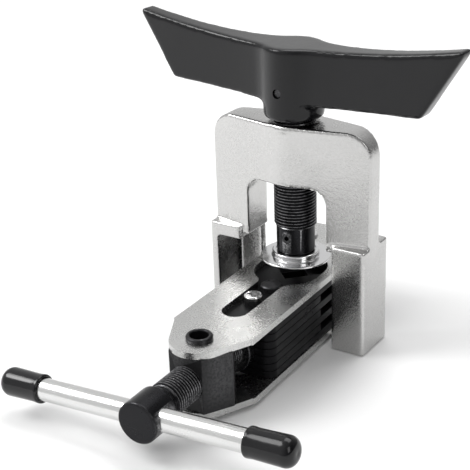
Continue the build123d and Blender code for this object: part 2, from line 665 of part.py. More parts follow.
def make_yoke():
    """The cast yoke: a ridged arch on two pocketed feet with lips that hook under the clamp."""
    with BuildPart() as yoke:
        with BuildSketch(Plane.XZ) as arch:
            with Locations((0, (YOKE_TOP_Z + SHOULDER_Z) / 2)):
                Rectangle(2 * LEG_OUTER_X, YOKE_TOP_Z - SHOULDER_Z)
            fillet(arch.vertices().group_by(Axis.Y)[-1], radius=SHOULDER_R)
        extrude(amount=BEAM_HALF_T, both=True)
        with BuildSketch(Plane.XY.offset(SHOULDER_Z)):
            with BuildLine():
                Polyline(
                    (-LEG_OUTER_X, -BEAM_END_HALF_T),
                    (-LEG_INNER_X, -BEAM_MID_HALF_T),
                    (-5.0, -BEAM_HALF_T),
                    (5.0, -BEAM_HALF_T),
                    (LEG_INNER_X, -BEAM_MID_HALF_T),
                    (LEG_OUTER_X, -BEAM_END_HALF_T),
                    (LEG_OUTER_X, BEAM_END_HALF_T),
                    (LEG_INNER_X, BEAM_MID_HALF_T),
                    (5.0, BEAM_HALF_T),
                    (-5.0, BEAM_HALF_T),
                    (-LEG_INNER_X, BEAM_MID_HALF_T),
                    (-LEG_OUTER_X, BEAM_END_HALF_T),
                    close=True,
                )
            make_face()
        extrude(amount=YOKE_TOP_Z - SHOULDER_Z, mode=Mode.INTERSECT)
        with BuildSketch(Plane.XZ) as opening:
            with Locations((0, (ARCH_TOP_Z + SHOULDER_Z) / 2)):
                Rectangle(2 * LEG_INNER_X, ARCH_TOP_Z - SHOULDER_Z)
            fillet(opening.vertices().group_by(Axis.Y)[-1], radius=ARCH_CORNER_R)
        extrude(amount=BEAM_HALF_T + 1, both=True, mode=Mode.SUBTRACT)
        for side in (-1, 1):
            middle_x = side * (BOX_OUTER_X + BOX_INNER_X) / 2
            middle_y = (BOX_REAR_Y + BOX_FRONT_Y) / 2
            with BuildSketch(Plane.XY.offset(BOX_BOTTOM_Z)) as foot:
                with Locations((middle_x, middle_y)):
                    Rectangle(BOX_OUTER_X - BOX_INNER_X, BOX_REAR_Y - BOX_FRONT_Y)
                fillet(foot.vertices(), radius=0.8)
            extrude(amount=SHOULDER_Z - BOX_BOTTOM_Z)
            with BuildSketch(Plane.XY.offset(SHOULDER_Z - 3.0)):
                with Locations((side * (LEG_INNER_X + BOX_INNER_X + 2) / 2, 0)):
                    Rectangle(BOX_INNER_X + 2 - LEG_INNER_X, 2 * BEAM_MID_HALF_T)
            extrude(amount=3.0)
            pocket_x = BOX_OUTER_X - POCKET_WALL
            with BuildSketch(Plane.XY.offset(POCKET_FLOOR_Z)):
                with Locations((side * (BOX_INNER_X + pocket_x) / 2, middle_y + side * POCKET_WALL)):
                    Rectangle(pocket_x - BOX_INNER_X + 0.02, BOX_REAR_Y - BOX_FRONT_Y)
            extrude(amount=POCKET_TOP_Z - POCKET_FLOOR_Z, mode=Mode.SUBTRACT)
            lip_y = BOX_REAR_Y - LIP_LENGTH / 2 if side > 0 else BOX_FRONT_Y + LIP_LENGTH / 2
            with BuildSketch(Plane.XY.offset(BOX_BOTTOM_Z)):
                with Locations((side * (LIP_INNER_X + BOX_INNER_X + 1) / 2, lip_y)):
                    Rectangle(BOX_INNER_X + 1 - LIP_INNER_X, LIP_LENGTH)
            extrude(amount=LIP_TOP_Z - BOX_BOTTOM_Z)
        with BuildSketch(Plane.XY.offset(YOKE_TOP_Z)):
            Circle(FEED_R + 2.2)
        extrude(amount=0.4)
        with BuildSketch(Plane.XY.offset(ARCH_TOP_Z - 2)):
            Circle(FEED_R + RUN_CLEAR)
        extrude(amount=YOKE_TOP_Z + 4 - ARCH_TOP_Z, mode=Mode.SUBTRACT)
    keep(yoke.part.moved(Location((0, 0, 0), (0, 0, YOKE_YAW))), "yoke")


make_plate(0.0, "top_plate")
make_plate(CLAMP_BOTTOM_Z + PLATE_T, "bottom_plate")
make_nose_block()
make_hollow_rivet(0.0, 1, "nose_rivet_top")
make_hollow_rivet(CLAMP_BOTTOM_Z, -1, "nose_rivet_bottom")
make_rear_rivet(-REAR_RIVET_X, "rear_rivet_left")
make_rear_rivet(REAR_RIVET_X, "rear_rivet_right")
for leaf_layer in range(LEAF_COUNT):
    make_sliding_leaf(leaf_layer)
    make_fixed_leaf(leaf_layer)
make_jaw_pins()
make_clamp_screw()
make_t_bar()
make_cone_holder()
make_feed_screw()
make_handle()
make_yoke()
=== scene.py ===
"""Looks of the universal flaring tool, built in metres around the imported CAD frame.

Each sub-assembly is a class that takes its places from the frame's own boxes, models its pieces with
bmesh operators and dresses them in the finishes below.
"""

from __future__ import annotations

import logging
import math
from collections.abc import Callable, Iterable
from dataclasses import dataclass, field
from enum import Enum

import bmesh
import bpy
from mathutils import Matrix, Vector


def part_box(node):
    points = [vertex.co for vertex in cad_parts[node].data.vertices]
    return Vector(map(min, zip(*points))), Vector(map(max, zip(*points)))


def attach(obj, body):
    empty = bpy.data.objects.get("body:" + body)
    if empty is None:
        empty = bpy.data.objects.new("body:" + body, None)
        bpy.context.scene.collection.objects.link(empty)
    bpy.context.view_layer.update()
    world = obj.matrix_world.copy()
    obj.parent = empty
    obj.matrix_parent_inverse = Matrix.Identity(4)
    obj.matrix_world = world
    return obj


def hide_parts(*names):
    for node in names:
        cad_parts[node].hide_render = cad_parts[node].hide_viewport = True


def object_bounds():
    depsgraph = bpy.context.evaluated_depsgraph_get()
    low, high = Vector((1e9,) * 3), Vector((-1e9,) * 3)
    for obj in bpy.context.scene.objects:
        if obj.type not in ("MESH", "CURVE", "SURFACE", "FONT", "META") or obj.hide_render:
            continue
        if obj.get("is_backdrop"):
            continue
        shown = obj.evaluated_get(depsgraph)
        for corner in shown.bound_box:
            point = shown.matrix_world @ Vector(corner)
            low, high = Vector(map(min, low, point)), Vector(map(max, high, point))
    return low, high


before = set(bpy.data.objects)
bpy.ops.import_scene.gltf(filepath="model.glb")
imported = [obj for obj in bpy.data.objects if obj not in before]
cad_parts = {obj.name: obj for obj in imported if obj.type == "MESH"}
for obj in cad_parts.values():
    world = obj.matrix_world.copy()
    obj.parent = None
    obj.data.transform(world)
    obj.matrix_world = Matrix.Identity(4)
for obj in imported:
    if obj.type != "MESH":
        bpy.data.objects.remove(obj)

LOG = logging.getLogger("flaring_tool")
MM = 0.001
SMOOTH_ANGLE = math.radians(32)
MERGE_DIST = 1e-4
SLIVER_DIST = 1e-5
THREAD_MERGE_DIST = 1e-3
# How far a cutter reaches past the faces that it cuts, in millimetres.
PAST = 1
Y_AXIS = Vector((0, 1, 0))
Z_AXIS = Vector((0, 0, 1))

Point = tuple[float, float]
Number = float | bpy.types.NodeSocket


# ------------------------------------------------------------------ modelling helpers


class Combine(Enum):
    """Ways of combining two closed solids."""

    CUT = "DIFFERENCE"
    JOIN = "UNION"
    KEEP = "INTERSECT"


@dataclass(frozen=True)
class Span:
    """The box of a CAD node, in millimetres."""

    low: Vector
    high: Vector

    @classmethod
    def of(cls, node: str) -> Span:
        """Read a node's box from the frame.

        Args:
            node: Name of the CAD node.

        Returns:
            Its lowest and highest corners in millimetres.
        """
        low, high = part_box(node)
        return cls(low / MM, high / MM)

    @property
    def middle(self) -> Vector:
        """Centre of the box."""
        return (self.low + self.high) / 2

    @property
    def size(self) -> Vector:
        """Lengths of the box's sides."""
        return self.high - self.low


def arc(centre: Point, radius: float, start: float, end: float, steps: int) -> list[Point]:
    """Points along a circular arc.

    Args:
        centre: Centre of the arc.
        radius: Its radius.
        start: Start angle in degrees.
        end: End angle in degrees.
        steps: Number of chords.

    Returns:
        The points from start to end, both included.
    """
    turn = [math.radians(start + (end - start) * i / steps) for i in range(steps + 1)]
    return [(centre[0] + radius * math.cos(a), centre[1] + radius * math.sin(a)) for a in turn]


def rounded(corners: list[Point], radii: list[float], steps: int = 8) -> list[Point]:
    """Round the corners of a closed outline.

    Args:
        corners: Corner points in order.
        radii: One radius for each corner, 0 for a sharp one.
        steps: Chords in each rounded corner.

    Returns:
        The outline with an arc at each corner that has a radius.
    """
    outline: list[Point] = []
    count = len(corners)
    for i, (corner, radius) in enumerate(zip(corners, radii)):
        here = Vector(corner)
        if radius <= 0:
            outline.append(corner)
            continue
        back = (Vector(corners[i - 1]) - here).normalized()
        ahead = (Vector(corners[(i + 1) % count]) - here).normalized()
        half = back.angle(ahead) / 2
        centre = here + (back + ahead).normalized() * (radius / math.sin(half))
        first = here + back * (radius / math.tan(half)) - centre
        last = here + ahead * (radius / math.tan(half)) - centre
        sweep = first.angle_signed(last)
        for k in range(steps + 1):
            turned = first.copy()
            turned.rotate(Matrix.Rotation(-sweep * k / steps, 2))
            outline.append(tuple(centre + turned))
    return outline


def prism(outline: Iterable[Point], low: float, high: float, axis: Vector = Z_AXIS) -> bmesh.types.BMesh:
    """Extrude a closed outline into a solid.

    Args:
        outline: Points of the outline: X and Y for a Z axis, X and Z for a Y axis.
        low: Where the solid starts along the axis.
        high: Where it ends.
        axis: Z_AXIS or Y_AXIS.

    Returns:
        A closed solid with outward faces.
    """
    bm = bmesh.new()
    verts = [bm.verts.new((a, b, low) if axis is Z_AXIS else (a, low, b)) for a, b in outline]
    face = bm.faces.new(verts)
    grown = bmesh.ops.extrude_face_region(bm, geom=[face])["geom"]
    moved = [g for g in grown if isinstance(g, bmesh.types.BMVert)]
    bmesh.ops.translate(bm, verts=moved, vec=axis * (high - low))
    bmesh.ops.recalc_face_normals(bm, faces=bm.faces)
    return bm


def turned(profile: Iterable[Point], steps: int = 96, closed: bool = False) -> bmesh.types.BMesh:
    """Spin a profile about Z into a solid.

    Args:
        profile: Radius and height pairs from one end to the other.
        steps: Sides of the full turn.
        closed: Whether the profile is a ring that doesn't touch the axis.

    Returns:
        A closed solid with outward faces.
    """
    bm = bmesh.new()
    verts = [bm.verts.new((radius, 0, height)) for radius, height in profile]
    edges = [bm.edges.new(pair) for pair in zip(verts, verts[1:])]
    if closed:
        edges.append(bm.edges.new((verts[-1], verts[0])))
    bmesh.ops.spin(
        bm, geom=verts + edges, cent=(0, 0, 0), axis=Z_AXIS, dvec=(0, 0, 0),
        angle=math.tau, steps=steps, use_merge=True, use_duplicate=False,
    )
    bmesh.ops.remove_doubles(bm, verts=bm.verts, dist=MERGE_DIST)
    bmesh.ops.dissolve_degenerate(bm, edges=bm.edges, dist=SLIVER_DIST)
    bmesh.ops.recalc_face_normals(bm, faces=bm.faces)
    return bm


def cylinder(radius: float, low: float, high: float, sides: int = 64) -> bmesh.types.BMesh:
    """A plain round solid about Z, used as a cutter or a core.

    Args:
        radius: Its radius.
        low: Height of its lower end.
        high: Height of its upper end.
        sides: Sides of the circle.

    Returns:
        A closed solid.
    """
    bm = bmesh.new()
    bmesh.ops.create_cone(
        bm, cap_ends=True, segments=sides, radius1=radius, radius2=radius, depth=high - low,
        matrix=Matrix.Translation((0, 0, (low + high) / 2)),
    )
    return bm


def block(low: Iterable[float], high: Iterable[float]) -> bmesh.types.BMesh:
    """A rectangular solid between two corners.

    Args:
        low: Lowest corner.
        high: Highest corner.

    Returns:
        A closed solid.
    """
    bm = bmesh.new()
    low_v, high_v = Vector(low), Vector(high)
    size = Matrix.Diagonal((*(high_v - low_v), 1))
    bmesh.ops.create_cube(bm, size=1, matrix=Matrix.Translation((low_v + high_v) / 2) @ size)
    return bm


def place(bm: bmesh.types.BMesh, matrix: Matrix) -> bmesh.types.BMesh:
    """Move a solid by a matrix and hand it back."""
    bmesh.ops.transform(bm, matrix=matrix, verts=bm.verts)
    return bm


def lay_along(direction: Vector, origin: Vector) -> Matrix:
    """The matrix that lays a solid built about Z along a direction from an origin."""
    return Matrix.Translation(origin) @ Z_AXIS.rotation_difference(direction).to_matrix().to_4x4()


def combine(first: bmesh.types.BMesh, second: bmesh.types.BMesh, how: Combine) -> bmesh.types.BMesh:
    """Combine two closed solids exactly.

    Args:
        first: The solid that is kept.
        second: The solid that is cut away, joined on or used as the limit.
        how: What to do.

    Returns:
        The combined solid. Both inputs are freed.
    """
    holders = []
    for bm in (first, second):
        mesh = bpy.data.meshes.new("work")
        bm.to_mesh(mesh)
        bm.free()
        holder = bpy.data.objects.new("work", mesh)
        bpy.context.scene.collection.objects.link(holder)
        holders.append(holder)
    modifier = holders[0].modifiers.new("combine", "BOOLEAN")
    modifier.operation = how.value
    modifier.solver = "EXACT"
    modifier.object = holders[1]
    graph = bpy.context.evaluated_depsgraph_get()
    result = bmesh.new()
    result.from_object(holders[0], graph)
    for holder in holders:
        mesh = holder.data
        bpy.data.objects.remove(holder)
        bpy.data.meshes.remove(mesh)
    bmesh.ops.remove_doubles(result, verts=result.verts, dist=2 * MERGE_DIST)
    bmesh.ops.dissolve_degenerate(result, edges=result.edges, dist=MERGE_DIST)
    return result


def drill(
    bm: bmesh.types.BMesh, radius: float, low: float, high: float, sides: int = 64, at: Matrix | None = None
) -> bmesh.types.BMesh:
    """Drill a round hole through a solid.

    Args:
        bm: The solid. It is freed.
        radius: Radius of the hole.
        low: Where the drill starts along its axis.
        high: Where it ends.
        sides: Sides of the circle.
        at: Where the drill's Z axis lies, or None for the solid's own.

    Returns:
        The drilled solid.
    """
    tool = cylinder(radius, low, high, sides)
    return combine(bm, tool if at is None else place(tool, at), Combine.CUT)


def soften(bm: bmesh.types.BMesh, grid: float, passes: int) -> bmesh.types.BMesh:
    """Give a solid the rounded edges and filled corners of a casting.

    Args:
        bm: The solid. It is freed.
        grid: Spacing of the even mesh that it is remade with.
        passes: How often each point is moved towards its neighbours.

    Returns:
        The softened solid.
    """
    mesh = bpy.data.meshes.new("work")
    bmesh.ops.triangulate(bm, faces=bm.faces)
    bm.to_mesh(mesh)
    bm.free()
    holder = bpy.data.objects.new("work", mesh)
    bpy.context.scene.collection.objects.link(holder)
    even = holder.modifiers.new("even", "REMESH")
    even.mode = "VOXEL"
    even.voxel_size = grid
    result = bmesh.new()
    result.from_object(holder, bpy.context.evaluated_depsgraph_get())
    bpy.data.objects.remove(holder)
    bpy.data.meshes.remove(mesh)
    for _ in range(passes):
        bmesh.ops.smooth_vert(
            result, verts=result.verts, factor=0.5, use_axis_x=True, use_axis_y=True, use_axis_z=True,
        )
    bmesh.ops.recalc_face_normals(result, faces=result.faces)
    return result


def bevel_where(
    bm: bmesh.types.BMesh, width: float, segments: int, wanted: Callable[[bmesh.types.BMEdge], bool]
) -> None:
    """Round the edges that a test picks out.

    Args:
        bm: The solid.
        width: How far the rounding reaches from the edge.
        segments: Faces across the rounding.
        wanted: Test of an edge.
    """
    edges = [e for e in bm.edges if len(e.link_faces) == 2 and wanted(e)]
    bmesh.ops.bevel(
        bm, geom=edges, offset=width, offset_type="OFFSET", segments=segments, profile=0.5,
        affect="EDGES", clamp_overlap=True, material=-1,
    )


def is_sharp(edge: bmesh.types.BMEdge, angle: float = SMOOTH_ANGLE) -> bool:
    """Whether an edge's two faces meet at more than an angle."""
    return edge.calc_face_angle(0.0) > angle


def helix(
    root: float, crest: float, pitch: float, low: float, high: float, steps: int = 60
) -> bmesh.types.BMesh:
    """A solid rod with a real right-hand helical thread, cut square at both ends.

    Args:
        root: Radius at the bottom of the thread.
        crest: Radius at its top.
        pitch: Height of one turn.
        low: Height of the lower end.
        high: Height of the upper end.
        steps: Sides of one turn.

    Returns:
        A closed solid.
    """
    turns = math.ceil((high - low) / pitch) + 3
    start = low - 2 * pitch
    tooth = [(root, 0.0), (root, 0.10), (crest, 0.44), (crest, 0.56), (root, 0.90), (root, 1.0)]
    bm = bmesh.new()
    verts = [bm.verts.new((radius, 0, start + share * pitch)) for radius, share in tooth[:-1]]
    verts.append(bm.verts.new((root, 0, start + pitch)))
    edges = [bm.edges.new(pair) for pair in zip(verts, verts[1:])]
    bmesh.ops.spin(
        bm, geom=verts + edges, cent=(0, 0, 0), axis=Z_AXIS, dvec=(0, 0, pitch / steps),
        angle=math.tau * turns, steps=steps * turns, use_merge=False, use_duplicate=False,
    )
    bmesh.ops.remove_doubles(bm, verts=bm.verts, dist=THREAD_MERGE_DIST)
    for height, inner in ((low, True), (high, False)):
        cut = bmesh.ops.bisect_plane(
            bm, geom=bm.verts[:] + bm.edges[:] + bm.faces[:], plane_co=(0, 0, height), plane_no=Z_AXIS,
            clear_inner=inner, clear_outer=not inner,
        )
        rim_verts = {g for g in cut["geom_cut"] if isinstance(g, bmesh.types.BMVert)}
        bmesh.ops.remove_doubles(bm, verts=list(rim_verts), dist=MERGE_DIST)
        rim = [
            e for e in bm.edges
            if e.is_boundary and all(abs(v.co.z - height) < THREAD_MERGE_DIST for v in e.verts)
        ]
        bmesh.ops.holes_fill(bm, edges=rim, sides=0)
    bmesh.ops.recalc_face_normals(bm, faces=bm.faces)
    return bm


def taper_ends(bm: bmesh.types.BMesh, root: float, crest: float, low: float, high: float) -> None:
    """Run a thread out to its root towards both ends, at 45 degrees.

    Args:
        bm: The threaded solid, about Z.
        root: Radius that the ends come down to.
        crest: Radius of the full thread.
        low: Height of the lower end.
        high: Height of the upper end.
    """
    for vert in bm.verts:
        reach = max(min(vert.co.z - low, high - vert.co.z), 0.0)
        limit = min(root + reach, crest)
        radius = math.hypot(vert.co.x, vert.co.y)
        if radius > limit:
            vert.co.x *= limit / radius
            vert.co.y *= limit / radius


# ------------------------------------------------------------------ shared shader groups


class GroupMaker:
    """Builds one shader node group with named numbers going in and out."""

    SOCKET = "NodeSocketFloat"

    def __init__(self, name: str, inputs: dict[str, float], outputs: tuple[str, ...]) -> None:
        """Start an empty group.

        Args:
            name: Name of the group.
            inputs: Each input's default.
            outputs: Names of the outputs.
        """
        self.tree = bpy.data.node_groups.new(name, "ShaderNodeTree")
        for label, default in inputs.items():
            socket = self.tree.interface.new_socket(name=label, in_out="INPUT", socket_type=self.SOCKET)
            socket.default_value = default
        for label in outputs:
            self.tree.interface.new_socket(name=label, in_out="OUTPUT", socket_type=self.SOCKET)
        self.entry = self.tree.nodes.new("NodeGroupInput")
        self.exit = self.tree.nodes.new("NodeGroupOutput")
        self.coords = self.tree.nodes.new("ShaderNodeTexCoord")

    def node(self, kind: str, **settings: object) -> bpy.types.ShaderNode:
        """Add a node with its settings."""
        return add_node(self.tree, kind, **settings)

    def link(self, source: bpy.types.NodeSocket, target: bpy.types.NodeSocket) -> None:
        """Join two sockets."""
        self.tree.links.new(source, target)

    def noise(
        self, scale: float, detail: float, roughness: float = 0.5, stretch: Vector | None = None
    ) -> bpy.types.NodeSocket:
        """Noise on Object coordinates, in features per metre, and its value socket.

        Args:
            scale: Features per metre.
            detail: Octaves.
            roughness: Weight of the finer octaves.
            stretch: Scale of each axis, for streaks.

        Returns:
            The value output of the noise.
        """
        noise = self.node("ShaderNodeTexNoise", noise_dimensions="3D")
        noise.inputs["Scale"].default_value = scale
        noise.inputs["Detail"].default_value = detail
        noise.inputs["Roughness"].default_value = roughness
        source = self.coords.outputs["Object"]
        if stretch is not None:
            mapping = self.node("ShaderNodeMapping")
            mapping.inputs["Scale"].default_value = stretch
            self.link(source, mapping.inputs["Vector"])
            source = mapping.outputs["Vector"]
        self.link(source, noise.inputs["Vector"])
        return noise.outputs["Fac"]

    def remap(
        self, value: bpy.types.NodeSocket, low: float, high: float, to_low: Number, to_high: Number
    ) -> bpy.types.NodeSocket:
        """Map a value from one span to another, held inside it.

        Args:
            value: The socket that is mapped.
            low: Start of its span.
            high: End of its span.
            to_low: Result at the start, a number or a socket.
            to_high: Result at the end, a number or a socket.

        Returns:
            The result's socket.
        """
        remap = self.node("ShaderNodeMapRange")
        remap.inputs["From Min"].default_value = low
        remap.inputs["From Max"].default_value = high
        for label, limit in (("To Min", to_low), ("To Max", to_high)):
            if isinstance(limit, (int, float)):
                remap.inputs[label].default_value = limit
            else:
                self.link(limit, remap.inputs[label])
        self.link(value, remap.inputs["Value"])
        return remap.outputs["Result"]

    def math(self, operation: str, first: Number, second: Number) -> bpy.types.NodeSocket:
        """Add a Math node on two values.

        Args:
            operation: The node's operation.
            first: A number or a socket.
            second: A number or a socket.

        Returns:
            The result's socket.
        """
        node = self.node("ShaderNodeMath", operation=operation)
        for socket, value in zip(node.inputs, (first, second)):
            if isinstance(value, (int, float)):
                socket.default_value = value
            else:
                self.link(value, socket)
        return node.outputs[0]


def add_node(tree: bpy.types.NodeTree, kind: str, **settings: object) -> bpy.types.ShaderNode:
    """Add a node to a tree and set its properties.

    Args:
        tree: The node tree.
        kind: The node's type.
        settings: Properties by name.

    Returns:
        The new node.
    """
    node = tree.nodes.new(kind)
    for name, value in settings.items():
        setattr(node, name, value)
    return node


def make_skin_group() -> bpy.types.NodeTree:
    """Cast or blasted skin: pebbles at two sizes, as a height, and a roughness that follows them."""
    group = GroupMaker(
        "cast_skin",
        {"Coarse": 1.0, "Fine": 1.0, "Base": 0.3,
         "Spread": 0.1},
        ("Height", "Roughness", "Tint"),
    )
    coarse = group.noise(420.0, 2.0, 0.55)
    fine = group.noise(1150.0, 3.0, 0.65)
    broad = group.noise(60.0, 2.0)
    coarse_part = group.math("MULTIPLY", coarse, group.entry.outputs["Coarse"])
    fine_part = group.math("MULTIPLY", fine, group.entry.outputs["Fine"])
    group.link(group.math("ADD", coarse_part, fine_part), group.exit.inputs["Height"])
    varied = group.math("MULTIPLY", group.remap(broad, 0.3, 0.7, -1.0, 1.0), group.entry.outputs["Spread"])
    speck = group.math("MULTIPLY", group.remap(fine, 0.35, 0.65, -0.5, 0.5), group.entry.outputs["Spread"])
    total = group.math("ADD", group.math("ADD", varied, speck), group.entry.outputs["Base"])
    group.link(total, group.exit.inputs["Roughness"])
    group.link(group.remap(fine, 0.3, 0.7, 0.0, 1.0), group.exit.inputs["Tint"])
    return group.tree


def make_wear_and_highlight_group() -> bpy.types.NodeTree:
    """A mask of the convex edges, broken up by a fine noise: worn edges, and on the black screws also a
    painted highlight along the thread crests.
    """
    group = GroupMaker(
        "edge_wear",
        {"Start": 0.52, "Amount": 1.0},
        ("Mask",),
    )
    geometry = group.node("ShaderNodeNewGeometry")
    patch = group.noise(900.0, 3.0, 0.6)
    edge = group.node("ShaderNodeMapRange")
    group.link(geometry.outputs["Pointiness"], edge.inputs["Value"])
    group.link(group.entry.outputs["Start"], edge.inputs["From Min"])
    group.link(group.math("ADD", group.entry.outputs["Start"], 0.05), edge.inputs["From Max"])
    broken = group.math("MULTIPLY", edge.outputs["Result"], group.remap(patch, 0.35, 0.6, 0.25, 1.0))
    group.link(group.math("MULTIPLY", broken, group.entry.outputs["Amount"]), group.exit.inputs["Mask"])
    return group.tree


def make_brushed_group() -> bpy.types.NodeTree:
    """Long fine streaks along one axis, as a height and a roughness."""
    group = GroupMaker(
        "drawn_streaks",
        {"Base": 0.2, "Spread": 0.1},
        ("Height", "Roughness"),
    )
    streak = group.noise(1.0, 3.0, 0.6, Vector((35.0, 2600.0, 2600.0)))
    blotch = group.noise(90.0, 2.0)
    fine, broad = group.remap(streak, 0.3, 0.7, -1.0, 1.0), group.remap(blotch, 0.3, 0.7, -0.6, 0.6)
    mixed = group.math("ADD", fine, broad)
    group.link(streak, group.exit.inputs["Height"])
    spread = group.math("MULTIPLY", mixed, group.entry.outputs["Spread"])
    group.link(group.math("ADD", spread, group.entry.outputs["Base"]), group.exit.inputs["Roughness"])
    return group.tree


def make_lathe_group() -> bpy.types.NodeTree:
    """Fine rings about the Z axis, as left by a turning tool."""
    group = GroupMaker(
        "lathe_rings",
        {"Base": 0.15, "Spread": 0.06},
        ("Height", "Roughness"),
    )
    split = group.node("ShaderNodeSeparateXYZ")
    group.link(group.coords.outputs["Object"], split.inputs[0])
    across = group.math("MULTIPLY", split.outputs["X"], split.outputs["X"])
    along = group.math("MULTIPLY", split.outputs["Y"], split.outputs["Y"])
    radius = group.math("SQRT", group.math("ADD", across, along), 0.0)
    ring_point = group.node("ShaderNodeCombineXYZ")
    group.link(radius, ring_point.inputs["X"])
    group.link(split.outputs["Z"], ring_point.inputs["Z"])
    noise = group.node("ShaderNodeTexNoise", noise_dimensions="3D")
    noise.inputs["Scale"].default_value = 4200.0
    noise.inputs["Detail"].default_value = 2.0
    group.link(ring_point.outputs[0], noise.inputs["Vector"])
    group.link(noise.outputs["Fac"], group.exit.inputs["Height"])
    varied = group.math("MULTIPLY", group.remap(noise.outputs["Fac"], 0.3, 0.7, -1.0, 1.0),
                        group.entry.outputs["Spread"])
    group.link(group.math("ADD", varied, group.entry.outputs["Base"]), group.exit.inputs["Roughness"])
    return group.tree


# ------------------------------------------------------------------ finishes


@dataclass(frozen=True)
class Finish:
    """A surface finish: its colours, roughness and the texture groups that vary them."""

    name: str
    colour: tuple[float, float, float]
    # Second colour: on convex edges where the edge mask is used (wear, and on the screws a painted
    # highlight), in the grain elsewhere.
    wear_highlight_and_grain_colour: tuple[float, float, float]
    metallic: float
    roughness: float
    spread: float
    texture: str = "cast_skin"
    coarse: float = 0.0
    fine: float = 1.0
    relief: float = 0.00002
    # How strongly convex edges take the second colour: wear, and on the screws a painted highlight.
    wear_and_highlight: float = 0.0
    wear_and_highlight_start: float = 0.52
    coat: float = 0.0
    shine: float = 0.5

    def material(self) -> bpy.types.Material:
        """Build the finish, or hand back the one built before.

        Returns:
            The node material.
        """
        label = f"{self.name}_finish"
        known = bpy.data.materials.get(label)
        if known is not None:
            return known
        material = bpy.data.materials.new(label)
        material.use_nodes = True
        tree = material.node_tree
        shader = tree.nodes["Principled BSDF"]
        shader.inputs["Metallic"].default_value = self.metallic
        shader.inputs["Coat Weight"].default_value = self.coat
        shader.inputs["Coat Roughness"].default_value = 0.08
        shader.inputs["Specular IOR Level"].default_value = self.shine
        texture = add_node(tree, "ShaderNodeGroup", node_tree=bpy.data.node_groups[self.texture])
        settings = {"Base": self.roughness, "Spread": self.spread, "Coarse": self.coarse, "Fine": self.fine}
        for setting, value in settings.items():
            if setting in texture.inputs:
                texture.inputs[setting].default_value = value
        tree.links.new(texture.outputs["Roughness"], shader.inputs["Roughness"])
        bump = add_node(tree, "ShaderNodeBump")
        bump.inputs["Strength"].default_value = 1.0
        bump.inputs["Distance"].default_value = self.relief
        tree.links.new(texture.outputs["Height"], bump.inputs["Height"])
        tree.links.new(bump.outputs["Normal"], shader.inputs["Normal"])
        mix = add_node(tree, "ShaderNodeMix", data_type="RGBA")
        mix.inputs["A"].default_value = (*self.colour, 1)
        mix.inputs["B"].default_value = (*self.wear_highlight_and_grain_colour, 1)
        # Convex edges take the second colour: real wear, and on the screws a painted highlight along the
        # thread crests.
        if self.wear_and_highlight > 0:
            wear_and_highlight = add_node(tree, "ShaderNodeGroup", node_tree=bpy.data.node_groups["edge_wear"])
            wear_and_highlight.inputs["Start"].default_value = self.wear_and_highlight_start
            wear_and_highlight.inputs["Amount"].default_value = self.wear_and_highlight
            mask = wear_and_highlight.outputs["Mask"]
        else:
            mask = texture.outputs["Tint" if "Tint" in texture.outputs else "Height"]
        tree.links.new(mask, mix.inputs["Factor"])
        tree.links.new(mix.outputs["Result"], shader.inputs["Base Color"])
        return material


PLATED_CASTING = Finish("plated_casting", (0.50, 0.497, 0.492), (0.60, 0.597, 0.59), 1.0, 0.22, 0.08,
                        coarse=0.4, fine=0.7, relief=0.00012)
PLATED_PLATE = Finish("plated_plate", (0.53, 0.53, 0.525), (0.66, 0.66, 0.65), 1.0, 0.27, 0.07,
                      coarse=0.05, fine=0.9, relief=0.00007)
LEAF_BLACK = Finish("leaf_black", (0.009, 0.009, 0.010), (0.085, 0.085, 0.088), 0.35, 0.34, 0.08,
                    coarse=0.4, fine=0.6, relief=0.00002, wear_and_highlight=0.45, wear_and_highlight_start=0.55, shine=0.08)
BLOCK_BLACK = Finish("block_black", (0.016, 0.016, 0.017), (0.10, 0.10, 0.104), 0.4, 0.40, 0.12,
                     coarse=0.8, fine=0.6, relief=0.00005, wear_and_highlight=0.6, wear_and_highlight_start=0.54, shine=0.3)
# The light edge colour (0.34) on the thread crests is partly wear and partly a painted highlight of the crest
# lines.
SCREW_BLACK = Finish("screw_black", (0.016, 0.016, 0.018), (0.34, 0.34, 0.35), 0.8, 0.30, 0.08,
                     coarse=0.3, fine=0.5, relief=0.000015, wear_and_highlight=1.0, wear_and_highlight_start=0.52, shine=0.35)
PIN_BLACK = Finish("pin_black", (0.026, 0.026, 0.028), (0.14, 0.14, 0.145), 0.85, 0.36, 0.08,
                   relief=0.00001, wear_and_highlight=0.6)
BRIGHT_RIVET = Finish("bright_rivet", (0.62, 0.62, 0.62), (0.75, 0.75, 0.75), 1.0, 0.28, 0.08, relief=0.00002)
BRIGHT_SCREW = Finish("bright_screw", (0.72, 0.72, 0.725), (0.8, 0.8, 0.8), 1.0, 0.16, 0.05, relief=0.00001)
DRAWN_ROD = Finish("drawn_rod", (0.66, 0.66, 0.655), (0.76, 0.76, 0.755), 1.0, 0.20, 0.07,
                   texture="drawn_streaks", relief=0.00002)
TURNED_CHROME = Finish("turned_chrome", (0.68, 0.68, 0.69), (0.78, 0.78, 0.78), 1.0, 0.14, 0.05,
                       texture="lathe_rings", relief=0.00002)
GROUND_STEEL = Finish("ground_steel", (0.56, 0.56, 0.57), (0.68, 0.68, 0.68), 1.0, 0.2, 0.06,
                      texture="lathe_rings", relief=0.00001)
VINYL = Finish("dipped_vinyl", (0.004, 0.004, 0.005), (0.008, 0.008, 0.009), 0.0, 0.16, 0.04,
               coarse=0.6, fine=0.1, relief=0.00003, coat=0.15, shine=0.3)
ENAMEL = Finish("black_enamel", (0.004, 0.004, 0.005), (0.007, 0.007, 0.008), 0.0, 0.17, 0.05,
                coarse=0.8, fine=0.25, relief=0.00005, coat=0.1, shine=0.28)


def dress(name: str, finish: Finish) -> None:
    """Put a finish on a CAD node that stays.

    Args:
        name: Name of the node.
        finish: Its finish.
    """
    node = bpy.data.objects[name]
    node.data.materials.clear()
    node.data.materials.append(finish.material())


